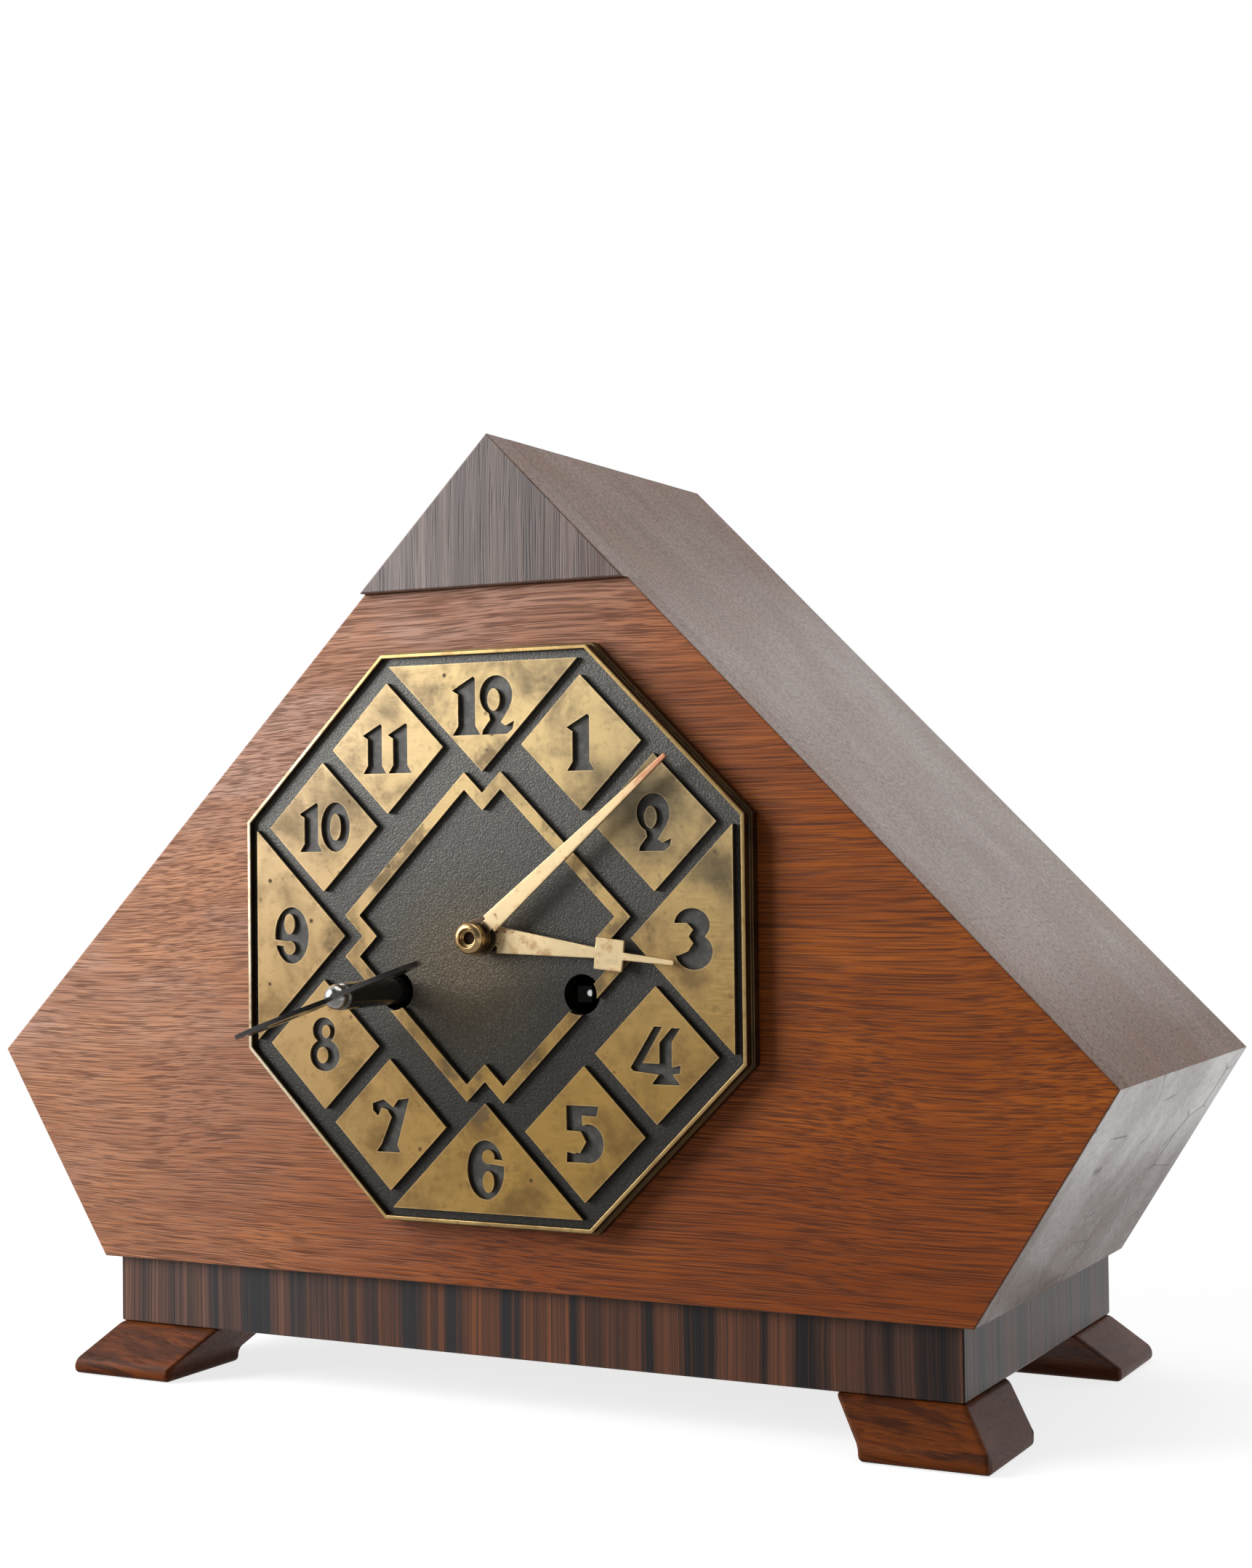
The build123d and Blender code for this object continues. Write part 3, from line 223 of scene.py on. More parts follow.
def shade(tree, colour, roughness, height, relief, metallic=0.0, depth=GRAIN_DEPTH, **plain):
    """The surface shader of a material, with height carved in by a bump."""
    bump = put(tree, "ShaderNodeBump", {"Height": height, "Distance": depth, "Strength": relief})
    sockets = {"Base Color": colour, "Roughness": roughness, "Metallic": metallic,
               "Normal": bump.outputs[0]}
    sockets.update({label.replace("_", " "): value for label, value in plain.items()})
    surface = put(tree, "ShaderNodeBsdfPrincipled", sockets)
    put(tree, "ShaderNodeOutputMaterial", {"Surface": surface.outputs[0]})


def rgb(r, g, b):
    return (r, g, b, 1.0)


WHITE = rgb(1, 1, 1)


# Shared effects.

def wood_figure():
    """Grain along the first axis: broad bands, streaks, fine lines and short open pores."""
    t, a, out = group("wood figure", [
        ("Along", "v", (0, 0, 0)), ("Ground", "c", rgb(0.3, 0.1, 0.03)),
        ("Band", "c", rgb(0.2, 0.05, 0.015)), ("Streak", "c", rgb(0.12, 0.03, 0.01)),
        ("Pore", "c", rgb(0.05, 0.015, 0.006)), ("Bands", "f", 0.6), ("Streaks", "f", 0.5),
        ("Pores", "f", 0.7), ("Streak Pitch", "f", 780.0), ("Pore Pitch", "f", 2200.0),
        ("Pore Run", "f", 170.0), ("Pore Share", "f", 0.53), ("Wander", "f", 0.004)],
        [("Color", "c"), ("Gloss Loss", "f"), ("Height", "f")])
    wide = noise(t, stretched(t, a["Along"], 7, 9, 9), detail=1.0)
    drift = times(t, minus(t, wide, 0.5), a["Wander"])
    x, y, z = axes(t, a["Along"])
    path = vector(t, x, plus(t, y, drift), plus(t, z, drift))
    run, side, deep = axes(t, path)

    def drawn_out(length, pitch):
        return vector(t, times(t, run, length), times(t, side, pitch), times(t, deep, pitch))

    bands = rise(t, noise(t, stretched(t, path, 8, 75, 75), detail=4.0, rough=0.6), 0.36, 0.66)
    streaks = noise(t, drawn_out(16.0, a["Streak Pitch"]), detail=4.0, rough=0.65)
    streaks = rise(t, streaks, 0.4, 0.64)
    lines = noise(t, stretched(t, path, 40, 2600, 2600), detail=2.0, rough=0.6)
    fine = rise(t, lines, 0.5, 0.72, top=0.45)
    pores = noise(t, drawn_out(a["Pore Run"], a["Pore Pitch"]), detail=1.0, rough=0.45)
    pores = rise(t, pores, a["Pore Share"], plus(t, a["Pore Share"], 0.19))
    pores = times(t, pores, a["Pores"])
    colour = blend(t, times(t, bands, a["Bands"]), a["Ground"], a["Band"])
    colour = blend(t, times(t, streaks, a["Streaks"]), colour, a["Streak"])
    colour = blend(t, times(t, fine, a["Streaks"]), colour, a["Streak"])
    colour = blend(t, pores, colour, a["Pore"])
    join(t, colour, out["Color"])
    join(t, plus(t, times(t, pores, 0.28), times(t, streaks, 0.06)), out["Gloss Loss"])
    join(t, minus(t, times(t, lines, 0.25), pores), out["Height"])
    return t


def edge_wear_and_highlight_group():
    """1 along sharp edges, broken up by wear, 0 on flat faces; finishes use it for real wear and for painted
    edge highlights.
    """
    t, a, out = group("edge wear and highlight", [("Place", "v", (0, 0, 0)), ("Width", "f", 0.8 * MM)], [("Edge", "f")])
    soft = put(t, "ShaderNodeBevel", {"Radius": a["Width"]}, samples=4).outputs[0]
    flat = put(t, "ShaderNodeNewGeometry").outputs["Normal"]
    turn = put(t, "ShaderNodeVectorMath", {0: soft, 1: flat}, operation="DOT_PRODUCT").outputs["Value"]
    edge = rise(t, turn, 0.995, 0.82)
    broken = rise(t, noise(t, a["Place"], scale=180.0, detail=4.0, rough=0.65), 0.3, 0.6)
    join(t, times(t, edge, plus(t, times(t, broken, 0.7), 0.3)), out["Edge"])
    return t


def aged_metal():
    """Metal with a cloudy tarnish, small dark spots and faint rubbing marks."""
    t, a, out = group("aged metal", [
        ("Place", "v", (0, 0, 0)), ("Metal", "c", rgb(0.7, 0.5, 0.22)),
        ("Tarnish", "c", rgb(0.3, 0.18, 0.07)), ("Spot", "c", rgb(0.05, 0.035, 0.02)),
        ("Cloud", "f", 0.5), ("Spots", "f", 0.5), ("Rub", "f", 0.5)],
        [("Color", "c"), ("Gloss Loss", "f"), ("Height", "f")])
    place = a["Place"]
    cloud = rise(t, noise(t, place, scale=60.0, detail=5.0, rough=0.62, warp=0.3), 0.4, 0.68)
    fine = noise(t, place, scale=420.0, detail=4.0, rough=0.65)
    mottled = times(t, rise(t, fine, 0.52, 0.75), times(t, a["Cloud"], 0.6))
    specks = rise(t, cells(t, place, scale=230.0), 0.2, 0.06)
    gathered = rise(t, noise(t, place, scale=75.0), 0.5, 0.66)
    spots = times(t, times(t, specks, gathered), a["Spots"])
    rub = noise(t, stretched(t, place, 300, 300, 2600), detail=2.0, rough=0.6)
    worn = times(t, rise(t, rub, 0.4, 0.7), times(t, a["Rub"], 0.2))
    colour = blend(t, times(t, cloud, a["Cloud"]), a["Metal"], a["Tarnish"])
    colour = blend(t, mottled, colour, a["Tarnish"])
    colour = blend(t, spots, colour, a["Spot"])
    join(t, colour, out["Color"])
    join(t, plus(t, plus(t, times(t, cloud, 0.14), worn), times(t, spots, 0.3)), out["Gloss Loss"])
    join(t, minus(t, times(t, fine, 0.5), spots), out["Height"])
    return t


def pebble():
    """A cast, leather-like ground of small round bumps."""
    t, a, out = group("pebble", [("Place", "v", (0, 0, 0)), ("Scale", "f", 900.0)],
                      [("Height", "f"), ("Crest", "f")])
    place = a["Place"]
    bend = vector(t, noise(t, place, scale=700.0), noise(t, place, scale=640.0, detail=1.0), 0.0)
    bend = stretched(t, bend, 1.2 * MM, 1.2 * MM, 0)
    bent = put(t, "ShaderNodeVectorMath", {0: place, 1: bend}, operation="ADD").outputs[0]
    high = minus(t, 1.0, cells(t, bent, a["Scale"], "SMOOTH_F1"))
    swell = noise(t, place, scale=260.0, detail=3.0)
    join(t, plus(t, high, times(t, swell, 0.7)), out["Height"])
    join(t, rise(t, high, 0.55, 0.95), out["Crest"])
    return t


WOOD = wood_figure()
EDGE = edge_wear_and_highlight_group()
METAL = aged_metal()
PEBBLE = pebble()


def edge_wear_and_highlight(tree, place, width):
    """1 along the edges, over a width, where a finish puts wear or a painted highlight."""
    return use(tree, EDGE, Place=place, Width=width)["Edge"]


# Wood.

def grain_along(tree, order):
    """The place on a board with its grain turned to the first axis, as in 'zxy' for upright grain."""
    parts = dict(zip("xyz", axes(tree, spot_place(tree))))
    return vector(tree, *(parts[c] for c in order))


def inner_board(name, order, rubbed_edges=False):
    """A plain board of the case's inside and back."""
    made, t = material(name)
    wood = use(t, WOOD, Along=grain_along(t, order), Ground=rgb(0.33, 0.19, 0.09),
               Band=rgb(0.25, 0.13, 0.055), Streak=rgb(0.16, 0.075, 0.03), Pore=rgb(0.09, 0.04, 0.016),
               Pore_Pitch=2000.0, Pore_Run=150.0)
    colour = wood["Color"]
    place = spot_place(t)
    if rubbed_edges:
        pale = rgb(0.42, 0.27, 0.14)
        colour = blend(t, times(t, edge_wear_and_highlight(t, place, width=0.9 * MM), 0.6), colour, pale)
    smear = rise(t, noise(t, place, scale=22.0, detail=4.0, rough=0.6), 0.35, 0.7, top=0.1)
    rough = plus(t, plus(t, wood["Gloss Loss"], smear), 0.5)
    shade(t, colour, rough, wood["Height"], WOOD_RELIEF, Specular_IOR_Level=0.25)
    return made


def outer_veneer():
    """Roof and side veneer: fine mottled figure down the slope, greyer where it faces down at the sides, a
    painted silvery sheen.
    """
    t, a, out = group("outer veneer", [("Place", "v", (0, 0, 0))],
                      [("Color", "c"), ("Roughness", "f"), ("Height", "f"), ("Coat", "f")])
    dark_mottle = rgb(0.105, 0.048, 0.027)
    pale_patch = rgb(0.34, 0.19, 0.12)
    side_sheen_grey = rgb(0.13, 0.095, 0.08)
    crack_brown = rgb(0.04, 0.02, 0.012)
    place = a["Place"]
    x, y, z = axes(t, place)
    roof = rise(t, outward(t)[2], -0.1, 0.1)
    side = minus(t, 1.0, roof)
    down = minus(t, z, times(t, times(t, roof, 1.2), unsigned(t, x)))
    wood = use(t, WOOD, Along=vector(t, down, y, 0.0), Ground=rgb(0.28, 0.134, 0.074),
               Band=rgb(0.19, 0.085, 0.044), Streak=rgb(0.12, 0.053, 0.028),
               Pore=rgb(0.07, 0.032, 0.018), Bands=0.75, Streaks=0.5, Pores=0.45,
               Streak_Pitch=900.0, Pore_Pitch=1500.0, Pore_Run=420.0, Wander=0.004)
    mottle = noise(t, vector(t, times(t, down, 0.6), y, 0.0), scale=950.0, detail=3.0, rough=0.6)
    patch = noise(t, place, scale=26.0, detail=5.0, rough=0.65)
    crack = rise(t, cells(t, stretched(t, place, 70, 30, 60), feature="DISTANCE_TO_EDGE"), 0.04, 0.0)
    crack = times(t, crack, rise(t, noise(t, place, scale=38.0), 0.5, 0.58))
    crack = times(t, crack, side)
    colour = blend(t, rise(t, mottle, 0.42, 0.64, top=0.75), wood["Color"], dark_mottle)
    colour = blend(t, rise(t, patch, 0.5, 0.72, top=0.35), colour, pale_patch)
    # Painted sheen: the side faces that look down turn greyer.
    colour = blend(t, rise(t, roof, 1.0, 0.0, top=0.6), colour, side_sheen_grey)
    colour = blend(t, times(t, crack, 0.7), colour, crack_brown)
    join(t, colour, out["Color"])
    low = plus(t, times(t, roof, 0.042), 0.052)
    worn = larger(t, rise(t, z, 0.195, 0.245), rise(t, z, plus(t, low, 0.03), low))
    rough = plus(t, times(t, worn, 0.2), plus(t, rise(t, patch, 0.35, 0.7, top=0.14), 0.24))
    join(t, plus(t, rough, rise(t, mottle, 0.4, 0.7, top=0.2)), out["Roughness"])
    height = plus(t, wood["Height"], times(t, mottle, 1.4))
    height = plus(t, height, times(t, noise(t, place, scale=150.0), 2.0))
    join(t, minus(t, height, times(t, crack, 3.0)), out["Height"])
    side_coat = minus(t, 0.98, rise(t, patch, 0.35, 0.65, top=0.36))
    lift = times(t, minus(t, side_coat, 0.3), side)
    kept = minus(t, 1.0, times(t, larger(t, crack, times(t, worn, 0.75)), 0.8))
    join(t, times(t, plus(t, lift, 0.33), kept), out["Coat"])
    return t


OUTER = outer_veneer()
OUTER_COAT_ROUGHNESS = 0.25


def outer_finish():
    """The roof and side boards."""
    made, t = material("roof and side veneer")
    veneer = use(t, OUTER, Place=spot_place(t))
    shade(t, veneer["Color"], veneer["Roughness"], veneer["Height"], relief=0.42,
          Coat_Weight=veneer["Coat"], Coat_Roughness=OUTER_COAT_ROUGHNESS)
    return made


def faced_board(tree, wood, dullness, relief, specular):
    """A board whose front shows its own wood, and whose edges go on with the roof and side veneer. A lighter
    line along its front edges is a painted highlight.
    """
    place = spot_place(tree)
    front = rise(tree, outward(tree)[1], -0.55, -0.9)
    veneer = use(tree, OUTER, Place=place)
    near_front = rise(tree, axes(tree, place)[1], FRONT + 3.0 * MM, FRONT + 2.0 * MM)
    # Painted highlight: a lighter line along the front edges.
    edge = times(tree, edge_wear_and_highlight(tree, place, width=0.7 * MM), near_front)
    colour = blend(tree, front, veneer["Color"], wood["Color"])
    colour = blend(tree, times(tree, edge, 0.5), colour, rgb(0.42, 0.22, 0.13))
    smear = rise(tree, noise(tree, place, scale=14.0, detail=4.0, rough=0.6), 0.35, 0.7, top=0.1)
    own = plus(tree, plus(tree, wood["Gloss Loss"], smear), dullness)
    rough = between(tree, front, veneer["Roughness"], own)
    height = between(tree, front, veneer["Height"], wood["Height"])
    coat = times(tree, veneer["Coat"], minus(tree, 1.0, front))
    shade(tree, colour, rough, height, relief, Specular_IOR_Level=specular, Coat_Weight=coat,
          Coat_Roughness=OUTER_COAT_ROUGHNESS)


def front_veneer():
    """Oak veneer with its grain across: open pores at the left, tighter and redder at the lower right, paler
    at the left and upper left, partly its own tone and partly painted sheen.
    """
    made, t = material("front veneer")
    right_low = rgb(0.36, 0.078, 0.007)
    right_high = rgb(0.43, 0.108, 0.01)
    left_tan = rgb(0.56, 0.305, 0.195)
    painted_sheen_pale = rgb(0.6, 0.36, 0.27)
    bottom_red = rgb(0.33, 0.085, 0.02)
    right_fire = rgb(0.53, 0.138, 0.017)
    left_fire = rgb(0.63, 0.27, 0.115)
    place = spot_place(t)
    x, _, z = axes(t, place)
    slide = plus(t, x, times(t, z, -0.6))
    ragged = times(t, noise(t, place, scale=9.0), 0.05)
    left = rise(t, plus(t, slide, ragged), 0.04, -0.19)
    warm = rise(t, noise(t, stretched(t, place, 14, 1, 30), detail=3.0, rough=0.6), 0.42, 0.66)
    # Painted sheen: paler towards the upper left.
    upper_left_sheen = rise(t, minus(t, z, times(t, x, 0.6)), 0.15, 0.24, top=0.75)
    right = blend(t, rise(t, z, 0.05, 0.13), right_low, right_high)
    # The left is paler and tanner, partly the wood's own tone and partly painted sheen.
    ground = blend(t, left, right, left_tan)
    ground = blend(t, upper_left_sheen, ground, painted_sheen_pale)
    ground = blend(t, rise(t, z, 0.085, 0.05, top=0.35), ground, bottom_red)
    ground = blend(t, times(t, warm, 0.75), ground, blend(t, left, right_fire, left_fire))
    wood = use(t, WOOD, Along=place, Ground=ground,
               Band=blend(t, left, rgb(0.27, 0.056, 0.006), rgb(0.42, 0.17, 0.08)),
               Streak=blend(t, left, rgb(0.15, 0.028, 0.003), rgb(0.24, 0.08, 0.034)),
               Pore=blend(t, left, rgb(0.05, 0.011, 0.003), rgb(0.085, 0.026, 0.011)),
               Bands=0.6, Streaks=0.64, Pores=0.62, Streak_Pitch=1500.0, Pore_Pitch=2800.0,
               Pore_Run=plus(t, times(t, left, 20.0), 50.0), Pore_Share=0.46, Wander=0.014)
    faced_board(t, wood, dullness=0.32, relief=0.5, specular=0.27)
    return made


def cap_wood():
    """The gable cap: uneven upright streaks from silvery to near black, the silvery ones painted sheen, and
    reddish at its right corner, where that painted sheen fades.
    """
    made, t = material("gable cap wood")
    sheen_silver = rgb(0.22, 0.145, 0.12)
    near_black = rgb(0.07, 0.042, 0.036)
    corner_red = rgb(0.16, 0.05, 0.03)
    along = grain_along(t, "zxy")
    uneven = noise(t, stretched(t, along, 5, 190, 190), detail=4.0, rough=0.7)
    # Painted sheen: silvery streaks over the dark wood, fading to red at the right corner.
    ground = blend(t, rise(t, uneven, 0.38, 0.62), sheen_silver, near_black)
    red = times(t, rise(t, axes(t, spot_place(t))[0], 0.012, 0.04), rise(t, uneven, 0.45, 0.6))
    ground = blend(t, times(t, red, 0.6), ground, corner_red)
    wood = use(t, WOOD, Along=along, Ground=ground, Band=rgb(0.1, 0.058, 0.05),
               Streak=rgb(0.03, 0.017, 0.015), Pore=rgb(0.014, 0.008, 0.007), Bands=0.5, Streaks=0.6,
               Pores=0.5, Streak_Pitch=1100.0, Pore_Pitch=2100.0, Pore_Run=45.0, Wander=0.006)
    faced_board(t, wood, dullness=0.28, relief=0.28, specular=0.6)
    return made


def plinth_stripes(name, order, specular):
    """Dark veneer in upright stripes: blue-black blocks, fine brown and red lines, warmest in the middle,
    paler and greyer towards the left as painted sheen.
    """
    made, t = material(name)
    right_brown = rgb(0.15, 0.058, 0.032)
    left_sheen_brown = rgb(0.24, 0.118, 0.08)
    warm_brown = rgb(0.27, 0.09, 0.035)
    left_sheen_grey = rgb(0.034, 0.034, 0.038)
    right_black = rgb(0.01, 0.008, 0.008)
    block_brown = rgb(0.045, 0.026, 0.022)
    line_black = rgb(0.018, 0.013, 0.012)
    edge_brown = rgb(0.2, 0.11, 0.07)
    place = spot_place(t)
    run, across, _ = axes(t, grain_along(t, order))
    bent = plus(t, across, times(t, noise(t, place, scale=16.0), 0.003))
    lean = times(t, run, 2.0)

    def upright(pitch, layer, detail, rough):
        return noise(t, vector(t, lean, times(t, bent, pitch), layer), detail=detail, rough=rough)

    block = rise(t, upright(95.0, 0.0, 2.0, 0.5), 0.42, 0.56)
    line = upright(420.0, 3.0, 3.0, 0.6)
    fine = upright(1700.0, 7.0, 2.0, 0.6)
    x = axes(t, place)[0]
    middle = times(t, rise(t, x, -0.07, 0.0), rise(t, x, 0.12, 0.07))
    # Painted sheen: the browns and blacks turn paler and greyer towards the left.
    brown = blend(t, rise(t, x, -0.02, -0.09), right_brown, left_sheen_brown)
    brown = blend(t, middle, brown, warm_brown)
    black = blend(t, rise(t, x, -0.08, 0.08), left_sheen_grey, right_black)
    colour = blend(t, block, black, blend(t, 0.55, brown, block_brown))
    lined = times(t, rise(t, line, 0.5, 0.6), plus(t, times(t, block, 0.6), 0.2))
    colour = blend(t, lined, colour, brown)
    colour = blend(t, rise(t, fine, 0.46, 0.64, top=0.75), colour, line_black)
    colour = blend(t, times(t, edge_wear_and_highlight(t, place, width=0.9 * MM), 0.25), colour, edge_brown)
    rough = plus(t, rise(t, fine, 0.4, 0.7, top=0.2), 0.32)
    shade(t, colour, rough, times(t, fine, -1.0), WOOD_RELIEF, Specular_IOR_Level=specular)
    return made


def foot_wood():
    """The feet: orange-brown with bold dark streaks across, and greyer on their outer ends, partly end grain
    and partly painted sheen.
    """
    made, t = material("foot wood")
    orange = rgb(0.185, 0.045, 0.007)
    dark = rgb(0.033, 0.011, 0.005)
    end_sheen_grey = rgb(0.34, 0.23, 0.21)
    edge_brown = rgb(0.26, 0.09, 0.035)
    place = spot_place(t)
    x, y, z = axes(t, place)
    tilt = plus(t, z, times(t, x, 0.12))
    bold = noise(t, vector(t, times(t, x, 45.0), times(t, y, 45.0), times(t, tilt, 330.0)),
                 detail=4.0, rough=0.6, warp=0.6)
    wood = use(t, WOOD, Along=vector(t, x, y, tilt),
               Ground=blend(t, rise(t, bold, 0.45, 0.6, top=0.85), orange, dark),
               Band=rgb(0.13, 0.034, 0.01), Streak=rgb(0.055, 0.014, 0.005), Pore=rgb(0.022, 0.007, 0.003),
               Bands=0.4, Streaks=0.5, Pores=0.5, Streak_Pitch=1000.0, Pore_Pitch=1900.0, Pore_Run=120.0,
               Wander=0.02)
    # Greyer on the outer ends: partly end grain, partly painted sheen.
    end_grain_and_sheen = rise(t, times(t, outward(t)[0], x), 0.06, 0.09, top=0.42)
    colour = blend(t, end_grain_and_sheen, wood["Color"], end_sheen_grey)
    colour = blend(t, times(t, edge_wear_and_highlight(t, place, width=0.9 * MM), 0.5), colour, edge_brown)
    rough = plus(t, wood["Gloss Loss"], 0.42)
    shade(t, colour, rough, wood["Height"], WOOD_RELIEF, Specular_IOR_Level=0.1)
    return made


def paint(finish, *names):
    for name in names:
        nodes[name].data.materials.clear()
        nodes[name].data.materials.append(finish)


def ease(width, *names, segments=2):
    """Small rounded edges on the carried-over pieces, in millimetres."""
    for name in names:
        weld = nodes[name].modifiers.new("joined corners", "WELD")
        weld.merge_threshold = SAME_CORNER
        flat = nodes[name].modifiers.new("whole faces", "DECIMATE")
        flat.decimate_type = "DISSOLVE"
        flat.angle_limit = FLAT_ANGLE
        edge = nodes[name].modifiers.new("eased edges", "BEVEL")
        edge.width = width * MM
        edge.segments = segments
        edge.limit_method = "ANGLE"
        edge.angle_limit = SHARP_ANGLE
        even = nodes[name].modifiers.new("even faces", "WEIGHTED_NORMAL")
        even.weight = FACE_WEIGHT


def dress_case():
    feet = ("foot_front_left", "foot_front_right", "foot_back_left", "foot_back_right")
    paint(front_veneer(), "front_panel")
    paint(cap_wood(), "gable_cap")
    paint(outer_finish(), "roof_left", "roof_right", "side_left", "side_right")
    paint(plinth_stripes("plinth front stripes", "zxy", specular=0.36), "plinth_front", "plinth_back")
    paint(plinth_stripes("plinth end stripes", "zyx", specular=0.24), "plinth_left", "plinth_right")
    paint(foot_wood(), *feet)
    paint(inner_board("plain inner wood", "zxy", rubbed_edges=True), "back_panel", "back_door", "gong_block")
    paint(inner_board("bottom board wood", "xyz"), "bottom_board")
    ease(0.12, "gable_cap")
    ease(0.5, "plinth_front", "plinth_left", "plinth_right", "plinth_back")
    ease(1.5, *feet, segments=3)
    ease(0.6, "back_door")


# Dial, hands and key.

def dial_face():
    """Brass pads and band over a dark pebbled ground; numbers sunk to the ground colour. The brass is paler
    towards the top, partly dust haze and partly painted light, the ground is paler there as painted light,
    the walls carry painted shade, and the bright edges are partly a painted highlight.
    """
    made, t = material("dial brass and ground")
    right_low, right_high = rgb(0.42, 0.255, 0.072), rgb(0.51, 0.375, 0.18)
    left_low, left_high = rgb(0.39, 0.25, 0.1), rgb(0.38, 0.28, 0.16)
    dull_low, dull_high = rgb(0.17, 0.1, 0.034), rgb(0.17, 0.128, 0.075)
    stain_brown = rgb(0.085, 0.07, 0.045)
    band_brown = rgb(0.13, 0.09, 0.05)
    edge_highlight_bright = rgb(0.85, 0.64, 0.34)
    pit_low, pit_lit_top = rgb(0.032, 0.03, 0.026), rgb(0.085, 0.083, 0.075)
    crest_low, crest_lit_top = rgb(0.064, 0.059, 0.05), rgb(0.15, 0.145, 0.132)
    glow_pit, glow_crest = rgb(0.09, 0.066, 0.036), rgb(0.2, 0.155, 0.095)
    digit_dark, digit_pale = rgb(0.055, 0.053, 0.048), rgb(0.12, 0.113, 0.1)
    wall_shade_black = rgb(0.022, 0.018, 0.014)
    place = spot_place(t)
    x, y, z = axes(t, place)
    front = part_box("dial_plate")[0].y
    raised = rise(t, y, front + 1.0 * MM, front + 0.4 * MM)
    sunk = rise(t, y, front + 1.6 * MM, front + 1.4 * MM)
    high = rise(t, z, 0.07, 0.185)
    left = rise(t, x, 0.01, -0.065)

    # Brass paler towards the top, partly dust haze and partly painted light from above; duller to the left.
    tone = blend(t, high, right_low, right_high)
    tone = blend(t, left, tone, blend(t, high, left_low, left_high))
    metal = use(t, METAL, Place=place, Metal=tone, Tarnish=blend(t, high, dull_low, dull_high),
                Spot=rgb(0.05, 0.035, 0.02), Cloud=0.85, Spots=0.9, Rub=0.6)
    ragged = times(t, noise(t, place, scale=70.0, detail=4.0, rough=0.6), 0.016)
    stain = rise(t, plus(t, away(t, place, STAIN), ragged), 0.027, 0.013, top=0.85)
    smudge = rise(t, plus(t, away(t, place, SMUDGE), ragged), 0.019, 0.011, top=0.75)
    stain = larger(t, stain, smudge)
    brass = blend(t, stain, metal["Color"], stain_brown)
    inward = plus(t, unsigned(t, x), unsigned(t, minus(t, z, CENTRE.z)))
    patchy = rise(t, noise(t, place, scale=120.0, detail=4.0, rough=0.6), 0.5, 0.6)
    band = times(t, rise(t, inward, 53.5 * MM, 51.5 * MM), patchy)
    brass = blend(t, times(t, band, 0.7), brass, band_brown)
    # Bright edges: partly rubbed brass, partly painted highlight.
    brass = blend(t, times(t, edge_wear_and_highlight(t, place, width=0.7 * MM), 0.45), brass, edge_highlight_bright)

    lump = use(t, PEBBLE, Place=place, Scale=2000.0)
    glow = rise(t, away(t, place, GLOW), 34.0 * MM, 4.0 * MM, top=0.75)
    # Painted light: the ground is paler towards the top.
    pit = blend(t, high, pit_low, pit_lit_top)
    crest = blend(t, high, crest_low, crest_lit_top)
    ground = blend(t, lump["Crest"], pit, crest)
    ground = blend(t, glow, ground, blend(t, lump["Crest"], glow_pit, glow_crest))
    worn_floor = rise(t, noise(t, place, scale=260.0, detail=4.0, rough=0.65), 0.4, 0.7)
    ground = blend(t, sunk, ground, blend(t, worn_floor, digit_dark, digit_pale))
    # Painted shade: the walls of the pads, band and sunk numbers go near black.
    shaded_wall = rise(t, unsigned(t, outward(t)[1]), 0.6, 0.4)
    ground = blend(t, shaded_wall, ground, wall_shade_black)

    colour = blend(t, raised, ground, brass)
    brass_rough = plus(t, metal["Gloss Loss"], plus(t, times(t, stain, 0.2), 0.36))
    rough = between(t, raised, 0.38, brass_rough)
    metallic = minus(t, plus(t, times(t, raised, 0.7), 0.5), times(t, sunk, 0.35))
    fine = times(t, metal["Height"], times(t, raised, 0.15))
    height = plus(t, times(t, lump["Height"], minus(t, 1.0, sunk)), fine)
    shade(t, colour, rough, height, relief=0.14, metallic=metallic, depth=CAST_DEPTH)
    return made


def rim_brass():
    """The dial's rim: bright front edge, paler to the left as a painted reflection; behind it a dark gap wall
    and a darker bronze outer step, partly their own tone and partly painted shade, with painted highlights
    along their edges.
    """
    made, t = material("dial rim brass")
    bronze = rgb(0.12, 0.075, 0.035)
    bronze_dark = rgb(0.05, 0.032, 0.018)
    edge_highlight_bronze = rgb(0.42, 0.28, 0.12)
    place = spot_place(t)
    x, y, _ = axes(t, place)
    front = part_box("dial_rim")[0].y
    bright = rise(t, y, front + 0.6 * MM, front + 0.1 * MM)
    # Painted reflection: the front edge is paler to the left.
    tone = blend(t, rise(t, x, -0.03, -0.07), rgb(0.55, 0.38, 0.155), rgb(0.74, 0.63, 0.46))
    metal = use(t, METAL, Place=place, Metal=tone, Tarnish=rgb(0.26, 0.16, 0.065),
                Spot=rgb(0.05, 0.03, 0.015), Cloud=0.8, Spots=0.6, Rub=0.3)
    cloud = rise(t, noise(t, place, scale=90.0, detail=4.0, rough=0.6), 0.4, 0.7)
    dark = blend(t, cloud, bronze, bronze_dark)
    # Painted highlights along the edges of the dark step.
    dark = blend(t, times(t, edge_wear_and_highlight(t, place, width=0.6 * MM), 0.5), dark, edge_highlight_bronze)
    colour = blend(t, bright, dark, metal["Color"])
    rough = plus(t, metal["Gloss Loss"], 0.3)
    shade(t, colour, rough, metal["Height"], relief=0.15, metallic=0.9, depth=RIM_DEPTH)
    return made


